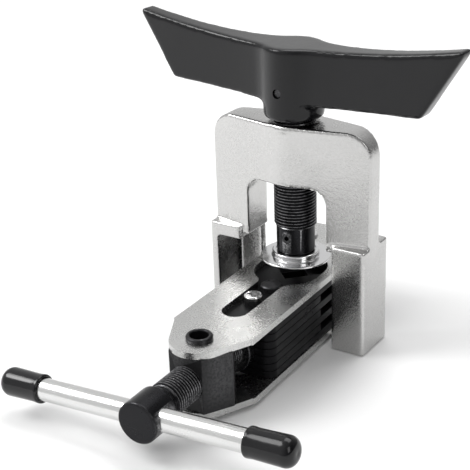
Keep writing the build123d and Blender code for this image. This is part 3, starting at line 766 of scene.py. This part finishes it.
def deliver(
    bm: bmesh.types.BMesh, name: str, body: str, nodes: tuple[str, ...], finish: Finish,
    smooth: float = SMOOTH_ANGLE,
) -> bpy.types.Object:
    """Turn a finished solid in millimetres into a piece of the tool.

    Args:
        bm: The solid. It is freed.
        name: Name of the piece.
        body: CAD body that it rides on.
        nodes: CAD nodes that it stands for.
        finish: Its finish.
        smooth: Largest angle between faces that are shaded as one.

    Returns:
        The new object.
    """
    bmesh.ops.scale(bm, vec=(MM, MM, MM), verts=bm.verts)
    mesh = bpy.data.meshes.new(name)
    bm.to_mesh(mesh)
    bm.free()
    mesh.shade_smooth()
    mesh.set_sharp_from_angle(angle=smooth)
    mesh.materials.append(finish.material())
    piece = bpy.data.objects.new(name, mesh)
    bpy.context.scene.collection.objects.link(piece)
    evener = piece.modifiers.new("even_shading", "WEIGHTED_NORMAL")
    evener.keep_sharp = True
    evener.weight = 80
    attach(piece, body)
    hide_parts(*nodes)
    LOG.info("%s: %d faces on %s", name, len(mesh.polygons), body)
    return piece


# ------------------------------------------------------------------ clamp


@dataclass
class Clamp:
    """The two plates, the nose block, their rivets and the fixed jaw."""

    keyhole_r: float = 16.0
    keyhole_front_y: float = -8.0
    keyhole_rear_y: float = -2.0
    slot_half_w: float = 6.3
    slot_end_y: float = -55.0
    neck_r: float = 6.0
    corner_y: float = -74.5
    nose_half_w: float = 11.2
    nose_side_y: float = -91.0
    nose_y: float = -84.3
    nose_r: float = 13.0
    rear_corner_r: float = 2.5
    plate_edge: float = 0.35
    rivet_hole_r: float = 5.05
    rivet_stand: float = 2.0
    bore_r: float = 8.06

    def keyhole(self) -> list[Point]:
        """Outline of the keyhole: two half circles, a slot and rounded necks between them.

        Returns:
            Points in the plan.
        """
        reach = self.keyhole_r + self.neck_r
        side = self.slot_half_w + self.neck_r
        drop = math.sqrt(reach**2 - side**2)
        neck_y = self.keyhole_front_y - drop
        meet = math.degrees(math.atan2(-drop, side))
        right = arc((0, self.keyhole_rear_y), self.keyhole_r, 90, 0, 24)
        right += arc((0, self.keyhole_front_y), self.keyhole_r, 0, meet, 18)
        right += arc((side, neck_y), self.neck_r, meet + 180, 180, 10)[1:]
        right += arc((0, self.slot_end_y), self.slot_half_w, 0, -90, 14)
        left = [(-x, y) for x, y in reversed(right)]
        return right + left[1:-1]

    def plate(self, node: str) -> None:
        """Stamp one plate with its keyhole, slot and rivet hole.

        Args:
            node: CAD node that the plate stands for.
        """
        span = Span.of(node)
        half_w, rear_y = span.high.x, span.high.y
        tip = math.degrees(math.atan2(self.nose_side_y - self.nose_y, self.nose_half_w))
        outline = rounded(
            [(half_w, self.corner_y), (half_w, rear_y), (-half_w, rear_y), (-half_w, self.corner_y)],
            [0.8, self.rear_corner_r, self.rear_corner_r, 0.8], 6,
        )
        outline += arc((0, self.nose_y), self.nose_r, 180 - tip, 360 + tip, 40)
        plate = prism(outline, span.low.z, span.high.z)
        plate = combine(plate, prism(self.keyhole(), span.low.z - PAST, span.high.z + PAST), Combine.CUT)
        plate = drill(plate, self.rivet_hole_r, span.low.z - PAST, span.high.z + PAST,
                      at=Matrix.Translation((0, self.nose_y, 0)))
        bevel_where(plate, self.plate_edge, 2, is_sharp)
        deliver(plate, f"{node}_stamping", "clamp", (node,), PLATED_PLATE)

    def nose_block(self) -> None:
        """Mill the threaded block that stands between the plates at the nose."""
        span = Span.of("nose_block")
        screw_z = span.middle.z
        half_w = span.high.x
        outline = [
            (-8.3, span.low.y), (8.3, span.low.y), (half_w, -83.0), (12.0, span.high.y),
            (-12.0, span.high.y), (-half_w, -83.0),
        ]
        body = prism(rounded(outline, [0.9] * 6, 3), span.low.z, span.high.z)
        entry = lay_along(Y_AXIS, Vector((0, span.low.y - 2 * PAST, screw_z)))
        body = drill(body, self.bore_r, 0, span.size.y + 4 * PAST, 96, entry)
        bevel_where(body, 0.45, 2, is_sharp)
        deliver(body, "nose_block_milling", "clamp", ("nose_block",), BLOCK_BLACK)

    def hollow_rivet(self, node: str, outward: int) -> None:
        """Turn one hollow rivet with its rolled lip.

        Args:
            node: CAD node that the rivet stands for.
            outward: 1 for the top rivet, -1 for the bottom one.
        """
        span = Span.of(node)
        top = span.high.z if outward > 0 else -span.low.z
        foot = span.low.z if outward > 0 else -span.high.z
        face = top - self.rivet_stand
        profile = [(0, foot), (5.0, foot), (5.0, face), (5.75, face)]
        profile += arc((4.95, top - 0.95), 0.95, 0, 90, 6)
        profile += arc((4.75, top - 0.75), 0.75, 90, 180, 6)
        profile += [(4.0, foot + 1.0), (0, foot + 1.0)]
        rivet = turned(profile, 72)
        if outward < 0:
            bmesh.ops.scale(rivet, vec=(1, 1, -1), verts=rivet.verts)
            bmesh.ops.recalc_face_normals(rivet, faces=rivet.faces)
        place(rivet, Matrix.Translation((0, self.nose_y, 0)))
        deliver(rivet, f"{node}_turning", "clamp", (node,), PIN_BLACK)

    def build(self) -> None:
        """Build every piece of the clamp."""
        for node in ("top_plate", "bottom_plate"):
            self.plate(node)
        self.nose_block()
        self.hollow_rivet("nose_rivet_top", 1)
        self.hollow_rivet("nose_rivet_bottom", -1)
        for node in ("rear_rivet_left", "rear_rivet_right"):
            dress(node, BRIGHT_RIVET)


# ------------------------------------------------------------------ jaws


@dataclass
class Jaws:
    """The leaves of both jaws, the guide pins and the guide screw."""

    leaf_count: int = 7
    corner_r: float = 5.0
    v_half_w: float = 12.0
    tongue_half_w: float = 16.0
    recess_half_w: float = 16.4
    recess_depth: float = 3.5
    jaw_vertex_y: float = -11.0
    seat_vertex_y: float = 8.0
    leaf_edge: float = 0.32
    pin_holes: tuple[Point, ...] = ((-40.0, 4.05), (-24.0, 4.85))
    tip_y: tuple[float, float] = (-52.6, -49.4)
    tip_neck_half_w: float = 3.6
    tip_head_half_w: float = 5.4
    rear_hole_r: float = 4.05
    rear_hole_x: float = 12.0
    rear_hole_y: float = 32.0
    shank_r: float = 1.6
    head_r: float = 4.2
    recess_long: float = 5.4
    recess_wide: float = 1.4
    recess_deep: float = 1.6
    recess_turn: float = 20

    def sliding_outline(self, span: Span, tongued: bool) -> list[Point]:
        """Plan of one sliding leaf.

        Args:
            span: Box of the CAD leaf.
            tongued: Whether the layer takes a tongue of the fixed jaw.

        Returns:
            Points in the plan.
        """
        half_w, front, rear = span.high.x, span.low.y, span.high.y
        right = [(half_w, rear)]
        if tongued:
            inner = [(self.recess_half_w, rear), (self.recess_half_w, rear - self.recess_depth)]
            notch = inner + [(-x, y) for x, y in reversed(inner)]
        else:
            notch = [(self.v_half_w, rear), (0, self.jaw_vertex_y), (-self.v_half_w, rear)]
        corners = [(-half_w, front), (half_w, front), *right, *notch, (-half_w, rear)]
        radii = [self.corner_r, self.corner_r] + [0.0] * (len(corners) - 2)
        return rounded(corners, radii, 10)

    def sliding_leaf(self, layer: int) -> None:
        """Cut one leaf of the sliding jaw.

        Args:
            layer: Layer number, 1 at the top.
        """
        node = f"sliding_leaf_{layer}"
        span = Span.of(node)
        leaf = prism(self.sliding_outline(span, layer % 2 == 0), span.low.z, span.high.z)
        for hole_y, radius in self.pin_holes:
            leaf = drill(leaf, radius, span.low.z - PAST, span.high.z + PAST, 40,
                         Matrix.Translation((0, hole_y, 0)))
        if abs(layer - (self.leaf_count + 1) // 2) <= 1:
            low, high = span.low.z - PAST, span.high.z + PAST
            neck_w, head_w = self.tip_neck_half_w, self.tip_head_half_w
            neck = block((-neck_w, span.low.y - PAST, low), (neck_w, self.tip_y[0] + 0.5, high))
            head = block((-head_w, self.tip_y[0], low), (head_w, self.tip_y[1], high))
            leaf = combine(combine(leaf, neck, Combine.CUT), head, Combine.CUT)
        bevel_where(leaf, self.leaf_edge, 2, is_sharp)
        deliver(leaf, f"{node}_cut", "jaw", (node,), LEAF_BLACK)

    def fixed_leaf(self, layer: int) -> None:
        """Cut one leaf of the fixed jaw.

        Args:
            layer: Layer number, 1 at the top.
        """
        node = f"fixed_leaf_{layer}"
        span = Span.of(node)
        half_w, rear = span.high.x, span.high.y
        if layer % 2 == 0:
            shoulder = 0.0
            tip = self.seat_vertex_y - self.v_half_w
            tongue = self.tongue_half_w
            right = [(half_w, rear), (half_w, shoulder), (tongue, shoulder), (tongue, tip)]
            right.append((self.v_half_w, tip))
            outline = right + [(0, self.seat_vertex_y)] + [(-x, y) for x, y in reversed(right)]
        else:
            front = span.low.y
            outline = [(half_w, rear), (half_w, front), (-half_w, front), (-half_w, rear)]
        leaf = prism(outline, span.low.z, span.high.z)
        for x in (-self.rear_hole_x, self.rear_hole_x):
            leaf = drill(leaf, self.rear_hole_r, span.low.z - PAST, span.high.z + PAST, 40,
                         Matrix.Translation((x, self.rear_hole_y, 0)))
        bevel_where(leaf, self.leaf_edge, 2, is_sharp)
        deliver(leaf, f"{node}_cut", "clamp", (node,), LEAF_BLACK)

    def guide_screw(self) -> None:
        """Turn the pan head of the guide screw and cut its cross recess."""
        span = Span.of("guide_screw")
        centre_y = span.middle.y
        top = span.high.z
        shank, head = self.shank_r, self.head_r
        profile = [(0, span.low.z), (shank, span.low.z), (shank, top - 2.0)]
        profile += [(head, top - 2.0), (head, top - 1.0)]
        profile += arc((3.3, top - 0.9), 0.9, 0, 90, 6) + [(1.5, top), (0, top)]
        screw = turned(profile, 64)
        for length, width in ((self.recess_long, self.recess_wide), (self.recess_wide, self.recess_long)):
            low = (-length / 2, -width / 2, top - self.recess_deep)
            high = (length / 2, width / 2, top + PAST)
            screw = combine(screw, block(low, high), Combine.CUT)
        turn = Matrix.Rotation(math.radians(self.recess_turn), 4, "Z")
        place(screw, Matrix.Translation((0, centre_y, 0)) @ turn)
        deliver(screw, "guide_screw_turning", "jaw", ("guide_screw",), BRIGHT_SCREW)

    def build(self) -> None:
        """Build both jaws."""
        for layer in range(1, self.leaf_count + 1):
            self.sliding_leaf(layer)
            self.fixed_leaf(layer)
        self.guide_screw()
        for node in ("guide_pin_front", "guide_pin_rear"):
            dress(node, PIN_BLACK)


# ------------------------------------------------------------------ clamp screw and T-bar


@dataclass
class ClampDrive:
    """The clamp screw, its thrust collar and the sliding T-bar."""

    thread_r: float = 8.0
    root_r: float = 7.1
    pitch: float = 1.5
    head_r: float = 9.4
    head_length: float = 15.0
    bar_y: float = -124.0
    rod_r: float = 5.0
    tilt: float = 3.5
    cap_r: float = 6.4
    cap_length: float = 21.5
    journal_r: float = 6.5
    journal_length: float = 4.1
    stem_r: float = 3.2
    tip_r: float = 5.0
    tip_length: float = 2.4
    run_out: float = 4.0
    rod_clearance: float = 0.06
    screw_z: float = field(init=False)

    def __post_init__(self) -> None:
        """Take the height of the screw's axis from the frame."""
        self.screw_z = Span.of("clamp_screw").middle.z

    def rod_axis(self) -> Vector:
        """Direction of the T-bar."""
        turn = math.radians(self.tilt)
        return Vector((math.cos(turn), 0, math.sin(turn)))

    def screw(self) -> None:
        """Turn, thread and cross-drill the clamp screw."""
        span = Span.of("clamp_screw")
        collar = Span.of("thrust_collar")
        head, root = self.head_length, self.root_r
        thread_end = collar.low.y - span.low.y
        tip = span.high.y - span.low.y
        profile = [(0, 0), (self.head_r - 1.6, 0)]
        profile += arc((self.head_r - 1.0, 1.0), 1.0, -90, 0, 6)
        profile += arc((self.head_r - 0.6, head - 0.6), 0.6, 0, 60, 5)
        journal_end, tip_start = thread_end + self.journal_length, tip - self.tip_length
        profile += [(root - 0.2, head + 3.2), (root - 0.2, thread_end), (self.journal_r, thread_end),
                    (self.journal_r, journal_end), (self.stem_r, journal_end), (self.stem_r, tip_start),
                    (self.tip_r, tip_start), (self.tip_r, tip), (0, tip)]
        core = turned(profile, 96)
        thread = helix(root, self.thread_r, self.pitch, head + self.run_out, thread_end, 56)
        taper_ends(thread, root, self.thread_r, head + self.run_out, thread_end)
        screw = combine(core, thread, Combine.JOIN)
        place(screw, lay_along(Y_AXIS, Vector((0, span.low.y, self.screw_z))))
        screw = drill(screw, self.rod_r + self.rod_clearance, -14, 14,
                      at=lay_along(self.rod_axis(), Vector((0, self.bar_y, self.screw_z))))
        deliver(screw, "clamp_screw_thread", "clamp_screw", ("clamp_screw",),
                SCREW_BLACK)

    def collar(self) -> None:
        """Turn the thrust collar."""
        span = Span.of("thrust_collar")
        depth, outer = span.size.y, span.high.x
        profile = [(6.55, 0.4), (6.95, 0), (outer - 0.7, 0)]
        profile += arc((outer - 0.7, 0.7), 0.7, -90, 0, 5) + arc((outer - 0.7, depth - 0.7), 0.7, 0, 90, 5)
        profile += [(6.95, depth), (6.55, depth - 0.4)]
        collar = turned(profile, 72, closed=True)
        place(collar, lay_along(Y_AXIS, Vector((0, span.low.y, self.screw_z))))
        deliver(collar, "thrust_collar_turning", "clamp_screw", ("thrust_collar",),
                SCREW_BLACK)

    def rod_and_caps(self) -> None:
        """Turn the T-bar's rod and dip its two caps."""
        axis = self.rod_axis()
        span = Span.of("t_bar_rod")
        half = (span.size.x - 2 * self.rod_r * axis.z) / axis.x / 2
        centre = Vector((span.middle.x, self.bar_y, span.middle.z))
        ends = arc((self.rod_r - 0.8, -half + 0.8), 0.8, -90, 0, 4)
        rod = turned([(0, -half), *ends, *[(r, -h) for r, h in reversed(ends)], (0, half)], 72)
        place(rod, lay_along(axis, centre))
        deliver(rod, "t_bar_rod_drawn", "t_bar", ("t_bar_rod",), DRAWN_ROD)
        for side, node in ((-1, "t_bar_cap_left"), (1, "t_bar_cap_right")):
            self.cap(node, side, centre + axis * (side * (half + 2.0 - self.cap_length)), axis * side)

    def cap(self, node: str, side: int, mouth: Vector, outward: Vector) -> None:
        """Dip one end cap: a thick lip, a slim barrel and a round end with a faint dimple.

        Args:
            node: CAD node that the cap stands for.
            side: -1 on the left, 1 on the right. Not used.
            mouth: Centre of its open end.
            outward: Direction from the mouth to the closed end.
        """
        radius, length = self.cap_r, self.cap_length
        inner = self.rod_r + 0.05
        profile = [(0, length - 2.0), (inner, length - 2.0), (inner, 0.3)]
        profile += arc((radius - 0.75, 0.7), 0.7, -90, 0, 5)
        profile += [(radius - 0.05, 1.6), (radius - 0.25, 3.4), (radius - 0.16, 9.0), (radius, length - 5.2)]
        profile += arc((radius - 4.4, length - 4.6), 4.4, 2, 82, 12)
        profile += [(1.6, length - 0.12), (0.7, length - 0.25), (0, length - 0.3)]
        cap = turned(profile, 72)
        bmesh.ops.recalc_face_normals(cap, faces=cap.faces)
        place(cap, lay_along(outward, mouth))
        deliver(cap, f"{node}_dip", "t_bar", (node,), VINYL, math.radians(60))

    def build(self) -> None:
        """Build the clamp drive."""
        self.screw()
        self.collar()
        self.rod_and_caps()


# ------------------------------------------------------------------ feed screw, cone and collar


@dataclass
class FeedDrive:
    """The feed screw, the cone holder under it and the small screws and pins."""

    thread_r: float = 10.0
    root_r: float = 9.08
    pitch: float = 1.5
    neck_r: float = 9.03
    thread_bottom_z: float = 21.0
    set_screw_z: float = 16.4
    cone_tip_r: float = 2.0
    stem_bore_r: float = 5.06
    ball_bore_r: float = 2.8
    ball_bore_low: float = 20.3
    ball_bore_top: float = 25.3
    set_hole_r: float = 2.45

    def feed_screw(self) -> None:
        """Turn and thread the feed screw and drill its neck for the set screw."""
        span = Span.of("feed_screw")
        hub_z = Span.of("handle").low.z
        low, top = span.low.z, span.high.z
        start = self.thread_bottom_z
        stem, ball = self.stem_bore_r, self.ball_bore_r
        profile = [(0, self.ball_bore_top), (ball, self.ball_bore_top), (ball, self.ball_bore_low),
                   (stem, self.ball_bore_low), (stem, low + 0.3), (stem + 0.3, low)]
        profile += arc((self.neck_r - 0.5, low + 0.5), 0.5, -90, 0, 5)
        profile += [(self.neck_r, start - 0.4), (self.root_r, start + 0.2), (self.root_r, hub_z - 0.7),
                    (8.0, hub_z - 0.7), (8.0, top), (0, top)]
        core = turned(profile, 96)
        thread = helix(self.root_r, self.thread_r, self.pitch, start, hub_z - 0.6, 56)
        taper_ends(thread, self.root_r, self.thread_r, start, hub_z - 0.6)
        screw = combine(core, thread, Combine.JOIN)
        screw = drill(screw, self.set_hole_r, 4.5, 14, 48,
                      lay_along(-Y_AXIS, Vector((0, 0, self.set_screw_z))))
        deliver(screw, "feed_screw_thread", "feed", ("feed_screw",), SCREW_BLACK)

    def set_screw(self) -> None:
        """Turn the neck's set screw and sink its hexagon socket."""
        span = Span.of("neck_set_screw")
        face = -span.low.y
        foot = -span.high.y
        profile = [(0, foot), (1.1, foot), (1.1, foot + 0.9), (2.4, foot + 0.9)]
        profile += [(2.4, face - 0.3), (2.1, face), (0, face)]
        screw = turned(profile, 48)
        screw = drill(screw, 1.35, face - 1.8, face + PAST, 6)
        place(screw, lay_along(-Y_AXIS, Vector((0, 0, self.set_screw_z))))
        deliver(screw, "neck_set_screw_turning", "feed", ("neck_set_screw",), PIN_BLACK)

    def collar(self) -> None:
        """Turn the cone's collar with its grooves and thin flange."""
        span = Span.of("cone_collar")
        low, top, flange = span.low.z, span.high.z, span.high.x
        holder, seat = 11.2, 7.05
        profile = [(5.05, seat), (10.4, seat), (10.4, low + 0.2), (10.6, low)]
        profile += arc((flange - 0.35, low + 0.35), 0.35, -90, 0, 4)
        profile += arc((flange - 0.35, low + 0.65), 0.35, 0, 90, 4)
        profile += [(holder + 0.55, low + 1.0), (holder + 0.1, low + 1.2), (holder - 0.05, low + 1.6)]
        for groove in (1.95, 2.75):
            at = low + groove
            profile += [(holder, at - 0.12), (holder - 0.35, at), (holder, at + 0.12)]
        profile += arc((holder - 0.6, top - 0.6), 0.6, 0, 90, 5)
        profile += [(9.6, top), (9.3, top - 0.25), (5.3, top - 0.25), (5.05, top - 0.4)]
        collar = turned(profile, 128, closed=True)
        deliver(collar, "cone_collar_turning", "cone_holder", ("cone_collar",),
                TURNED_CHROME)

    def cone(self) -> None:
        """Grind the flaring cone with its stem and groove."""
        span = Span.of("flaring_cone")
        tip, top, base, blunt = span.low.z, span.high.z, span.high.x, self.cone_tip_r
        seat = tip + base - blunt
        profile = [(0, tip), (blunt - 0.5, tip), (blunt - 0.1, tip + 0.15), (base - 0.15, seat - 0.15)]
        profile += [(base, seat), (5.0, seat), (5.0, 15.0), (4.0, 15.0), (4.0, 17.8), (5.0, 17.8)]
        profile += [(5.0, top - 0.5), (4.5, top), (0, top)]
        cone = turned(profile, 96)
        deliver(cone, "flaring_cone_grinding", "cone_holder", ("flaring_cone",), GROUND_STEEL)

    def build(self) -> None:
        """Build the feed drive."""
        self.feed_screw()
        self.set_screw()
        self.collar()
        self.cone()
        dress("thrust_ball", GROUND_STEEL)
        dress("handle_pin", PIN_BLACK)


# ------------------------------------------------------------------ handle


@dataclass
class Handle:
    """The winged handle: an upswept blade, thick at the hub and thin at the tips."""

    hub_r: float = 13.94
    yaw: float = -4.4
    top_z: float = 107.6
    half_span: float = 83.8
    grid: float = 0.6
    soften_passes: int = 22
    pin_z: float = 87.5
    stations: int = 56
    socket_r: float = 8.05
    socket_top: float = 98.3
    pin_hole_r: float = 2.15

    def half_thickness(self, x: float) -> float:
        """Half thickness of the blade at a distance from the hub's axis."""
        wing = 4.4 + 8.1 * math.exp(-x / 24.0) * (1 - 0.06 * x / self.half_span)
        hub = math.sqrt(max((self.hub_r - 0.15) ** 2 - x * x, 0.0))
        blend = 8.0
        if x >= 20:
            return wing
        return math.log(math.exp(wing / blend * 6) + math.exp(hub / blend * 6)) * blend / 6

    def top(self, x: float) -> float:
        """Height of the blade's top edge."""
        rise = max(x - 14.0, 0.0) / (self.half_span - 14.0)
        return self.top_z + 7.4 * rise**1.9

    def bottom(self, x: float) -> float:
        """Height of the blade's bottom edge, which turns up steeply past the lower corner."""
        corner = 65.5
        level = 81.4 + 2.2 * x / corner
        if x <= corner:
            return level
        return level + (x - corner) * (28.6 / (self.half_span - corner))

    def section(self, x: float) -> list[Vector]:
        """The four corners of the blade's section at a distance along it."""
        reach, half = abs(x), self.half_thickness(abs(x))
        low, high = self.bottom(reach), self.top(reach)
        return [Vector((x, y, z)) for y, z in ((-half, low), (half, low), (half, high), (-half, high))]

    def blade(self) -> bmesh.types.BMesh:
        """Draw the blade out station by station from one tip to the other.

        Returns:
            The blade as a closed solid.
        """
        bm = bmesh.new()
        count = self.stations
        shares = [i / count - 0.5 for i in range(count + 1)]
        places = [(math.sin(s * math.pi) * 0.35 + s * 1.3) * self.half_span for s in shares]
        verts = [bm.verts.new(p) for p in self.section(places[0])]
        end = bm.faces.new(verts)
        for x in places[1:]:
            grown = bmesh.ops.extrude_face_region(bm, geom=[end])["geom"]
            end = next(g for g in grown if isinstance(g, bmesh.types.BMFace))
            for vert in end.verts:
                target = self.section(x)
                side = 1 if vert.co.y > 0 else 0
                upper = vert.co.z > (self.bottom(abs(vert.co.x)) + self.top(abs(vert.co.x))) / 2
                vert.co = target[{(0, False): 0, (1, False): 1, (1, True): 2, (0, True): 3}[(side, upper)]]
        bmesh.ops.remove_doubles(bm, verts=bm.verts, dist=MERGE_DIST)
        bmesh.ops.recalc_face_normals(bm, faces=bm.faces)
        return bm

    def build(self) -> None:
        """Build the handle."""
        span = Span.of("handle")
        hub_profile = [(0, span.low.z), (8.4, span.low.z), (8.8, span.low.z)]
        hub_profile += arc((self.hub_r - 0.6, span.low.z + 0.6), 0.6, -90, 0, 4)
        hub_profile += [(self.hub_r, 96.0), (0, 96.0)]
        handle = combine(self.blade(), turned(hub_profile, 96), Combine.JOIN)
        handle = soften(handle, self.grid, self.soften_passes)
        handle = drill(handle, self.socket_r, span.low.z - PAST, self.socket_top)
        handle = drill(handle, self.pin_hole_r, -20, 20, 40, lay_along(Y_AXIS, Vector((0, 0, self.pin_z))))
        place(handle, Matrix.Rotation(math.radians(self.yaw), 4, "Z"))
        deliver(handle, "handle_casting", "feed", ("handle",), ENAMEL, math.radians(40))


# ------------------------------------------------------------------ yoke


@dataclass
class Yoke:
    """The cast yoke: a ridged arch on two pocketed feet with lips under the clamp."""

    yaw: float = -1.3
    top_z: float = 72.0
    arch_top_z: float = 43.5
    arch_r: float = 7.5
    leg_inner: float = 20.7
    leg_outer: float = 41.4
    shoulder_r: float = 12.0
    shoulder_z: float = 17.9
    box_outer: float = 41.5
    box_inner: float = 24.6
    box_front: float = -10.7
    box_rear: float = 13.3
    wall: float = 4.2
    pocket_top: float = 11.2
    pocket_floor: float = -29.4
    lip_top: float = -32.3
    lip_inner: float = 16.0
    lip_length: float = 14.0
    bore_r: float = 10.06
    boss_r: float = 13.2
    boss_top_r: float = 12.2
    boss_stand: float = 0.4
    grid: float = 0.55
    soften_passes: int = 7

    def arch(self) -> bmesh.types.BMesh:
        """The arch above the feet, cut from its front outline and its ridged plan.

        Returns:
            A closed solid.
        """
        low, out = self.shoulder_z - 4.0, self.leg_outer
        front = rounded(
            [(-out, low), (out, low), (out, self.top_z), (-out, self.top_z)],
            [0, 0, self.shoulder_r, self.shoulder_r], 16,
        )
        body = prism(front, -20, 20, Y_AXIS)
        plan = [(out + 1, -4.5), (self.leg_inner, -8.9), *arc((0, 8.0), 20.6, -75, -105, 14),
                (-self.leg_inner, -8.9), (-out - 1, -4.5)]
        plan += [(x, -y) for x, y in reversed(plan)]
        body = combine(body, prism(plan, 0, 100), Combine.KEEP)
        inner = self.leg_inner
        opening = rounded(
            [(-inner, low - 5), (inner, low - 5), (inner, self.arch_top_z), (-inner, self.arch_top_z)],
            [0, 0, self.arch_r, self.arch_r], 12,
        )
        return combine(body, prism(opening, -30, 30, Y_AXIS), Combine.CUT)

    def foot(self, side: int) -> bmesh.types.BMesh:
        """One foot with its pocket and lip. The two feet are turned copies, not mirrored ones.

        Args:
            side: -1 on the left, 1 on the right.

        Returns:
            A closed solid.
        """
        bottom = Span.of("yoke").low.z
        near, far = side * self.box_inner, side * self.box_outer
        corners = [(near, self.box_front), (far, self.box_front), (far, self.box_rear), (near, self.box_rear)]
        foot = prism(rounded(corners[::side], [0.6, 1.4, 1.4, 0.6], 4), bottom, self.shoulder_z)
        pocket_far = side * (self.box_outer - self.wall)
        shift = side * self.wall
        low_x, high_x = sorted((near - side * 3, pocket_far))
        pocket = block((low_x, self.box_front + shift, self.pocket_floor),
                       (high_x, self.box_rear + shift, self.pocket_top))
        foot = combine(foot, pocket, Combine.CUT)
        lip_x = sorted((side * self.lip_inner, near + side * 1.0))
        lip_start = self.box_rear - self.lip_length if side > 0 else self.box_front
        lip = block((lip_x[0], lip_start, bottom), (lip_x[1], lip_start + self.lip_length, self.lip_top))
        foot = combine(foot, lip, Combine.JOIN)
        step_x = sorted((side * self.leg_inner, side * (self.box_inner + 2)))
        step = block((step_x[0], -8.9, self.shoulder_z - 3.0), (step_x[1], 8.9, self.shoulder_z))
        return combine(foot, step, Combine.JOIN)

    def build(self) -> None:
        """Cast the yoke in one piece and round its edges."""
        casting = self.arch()
        for side in (-1, 1):
            casting = combine(casting, self.foot(side), Combine.JOIN)
        low, top = self.top_z - 2, self.top_z + self.boss_stand
        boss = turned([(0, low), (self.boss_r, low), (self.boss_top_r, top), (0, top)], 96)
        casting = combine(casting, boss, Combine.JOIN)
        casting = soften(casting, self.grid, self.soften_passes)
        casting = drill(casting, self.bore_r, self.arch_top_z - 5, self.top_z + 5, 96)
        place(casting, Matrix.Rotation(math.radians(self.yaw), 4, "Z"))
        deliver(casting, "yoke_casting", "yoke", ("yoke",), PLATED_CASTING)


# ------------------------------------------------------------------ studio


@dataclass
class Studio:
    """Pale floor, soft light and the camera."""

    azimuth: float = 32.48
    elevation: float = 23.59
    roll: float = -2.04
    eye: tuple[float, float, float] = (0.25091, -0.44756, 0.23970)
    lens: float = 90.77

    def camera(self) -> None:
        """Set the camera up."""
        data = bpy.data.cameras.new("studio_camera")
        data.lens = self.lens
        data.sensor_width = 36.0
        data.clip_start = 0.01
        camera = bpy.data.objects.new("studio_camera", data)
        bpy.context.scene.collection.objects.link(camera)
        turn = Matrix.Rotation(math.radians(self.azimuth), 4, "Z")
        tilt = Matrix.Rotation(math.radians(90 - self.elevation), 4, "X")
        roll = Matrix.Rotation(math.radians(self.roll), 4, "Z")
        camera.matrix_world = Matrix.Translation(self.eye) @ turn @ tilt @ roll
        bpy.context.scene.camera = camera

    def floor(self, height: float) -> None:
        """Lay a wide pale floor.

        Args:
            height: Height of the floor in metres.
        """
        bm = bmesh.new()
        bmesh.ops.create_grid(bm, x_segments=2, y_segments=2, size=6.0)
        mesh = bpy.data.meshes.new("studio_floor")
        bm.to_mesh(mesh)
        bm.free()
        floor = bpy.data.objects.new("studio_floor", mesh)
        floor.location.z = height
        bpy.context.scene.collection.objects.link(floor)
        material = bpy.data.materials.new("floor_white")
        material.use_nodes = True
        shader = material.node_tree.nodes["Principled BSDF"]
        shader.inputs["Base Color"].default_value = (0.92, 0.92, 0.92, 1)
        shader.inputs["Roughness"].default_value = 0.9
        shader.inputs["Specular IOR Level"].default_value = 0.1
        mesh.materials.append(material)
        floor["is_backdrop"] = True

    def panel(self, name: str, eye: Vector, aim: Vector, size: tuple[float, float], power: float) -> None:
        """Hang one soft light panel.

        Args:
            name: Name of the light.
            eye: Where it hangs.
            aim: What it points at.
            size: Its width and height.
            power: Its power in watts.
        """
        data = bpy.data.lights.new(name, "AREA")
        data.shape = "RECTANGLE"
        data.size, data.size_y = size
        data.energy = power
        light = bpy.data.objects.new(name, data)
        turn = (aim - eye).to_track_quat("-Z", "Y").to_matrix().to_4x4()
        light.matrix_world = Matrix.Translation(eye) @ turn
        bpy.context.scene.collection.objects.link(light)

    def surroundings(self) -> None:
        """A pale room that darkens towards the right, so that the bright metal has something to show."""
        world = bpy.data.worlds.new("studio_room")
        world.use_nodes = True
        tree = world.node_tree
        background = tree.nodes["Background"]
        coords = add_node(tree, "ShaderNodeTexCoord")
        split = add_node(tree, "ShaderNodeSeparateXYZ")
        tree.links.new(coords.outputs["Generated"], split.inputs[0])
        ramp = add_node(tree, "ShaderNodeMapRange")
        ramp.inputs["From Min"].default_value = -0.2
        ramp.inputs["From Max"].default_value = 0.9
        ramp.inputs["To Min"].default_value = 1.25
        ramp.inputs["To Max"].default_value = 0.12
        tree.links.new(split.outputs["X"], ramp.inputs["Value"])
        tree.links.new(ramp.outputs["Result"], background.inputs["Color"])
        background.inputs["Strength"].default_value = 0.60
        bpy.context.scene.world = world

    def build(self) -> None:
        """Set up the whole studio."""
        self.floor(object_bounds()[0][2])
        self.camera()
        middle = Vector((0, -0.03, 0.03))
        self.panel("key_light", Vector((-1.0, -0.5, 1.25)), Vector((-0.1, -0.08, 0)), (0.8, 0.8), 13.0)
        self.panel("fill_light", Vector((1.2, -0.5, 0.7)), middle, (0.5, 0.8), 3.0)
        self.panel("top_light", Vector((0.0, 0.6, 1.5)), middle, (1.4, 0.8), 10.5)
        self.panel("left_wash", Vector((-0.75, -0.45, 0.7)), Vector((-0.4, -0.35, 0)), (0.3, 0.3), 1.6)
        self.surroundings()
        settings = bpy.context.scene.view_settings
        settings.view_transform = "Standard"
        settings.look = "None"


# ------------------------------------------------------------------ the whole tool


def main() -> None:
    """Build the tool around the frame, then the studio."""
    logging.basicConfig(level=logging.INFO, format="%(name)s: %(message)s")
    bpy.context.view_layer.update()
    for make_group in (make_skin_group, make_wear_and_highlight_group, make_brushed_group, make_lathe_group):
        make_group()
    for assembly in (Clamp(), Jaws(), ClampDrive(), FeedDrive(), Handle(), Yoke(), Studio()):
        assembly.build()
        LOG.info("%s built", type(assembly).__name__)


if __name__ == "__main__":
    main()
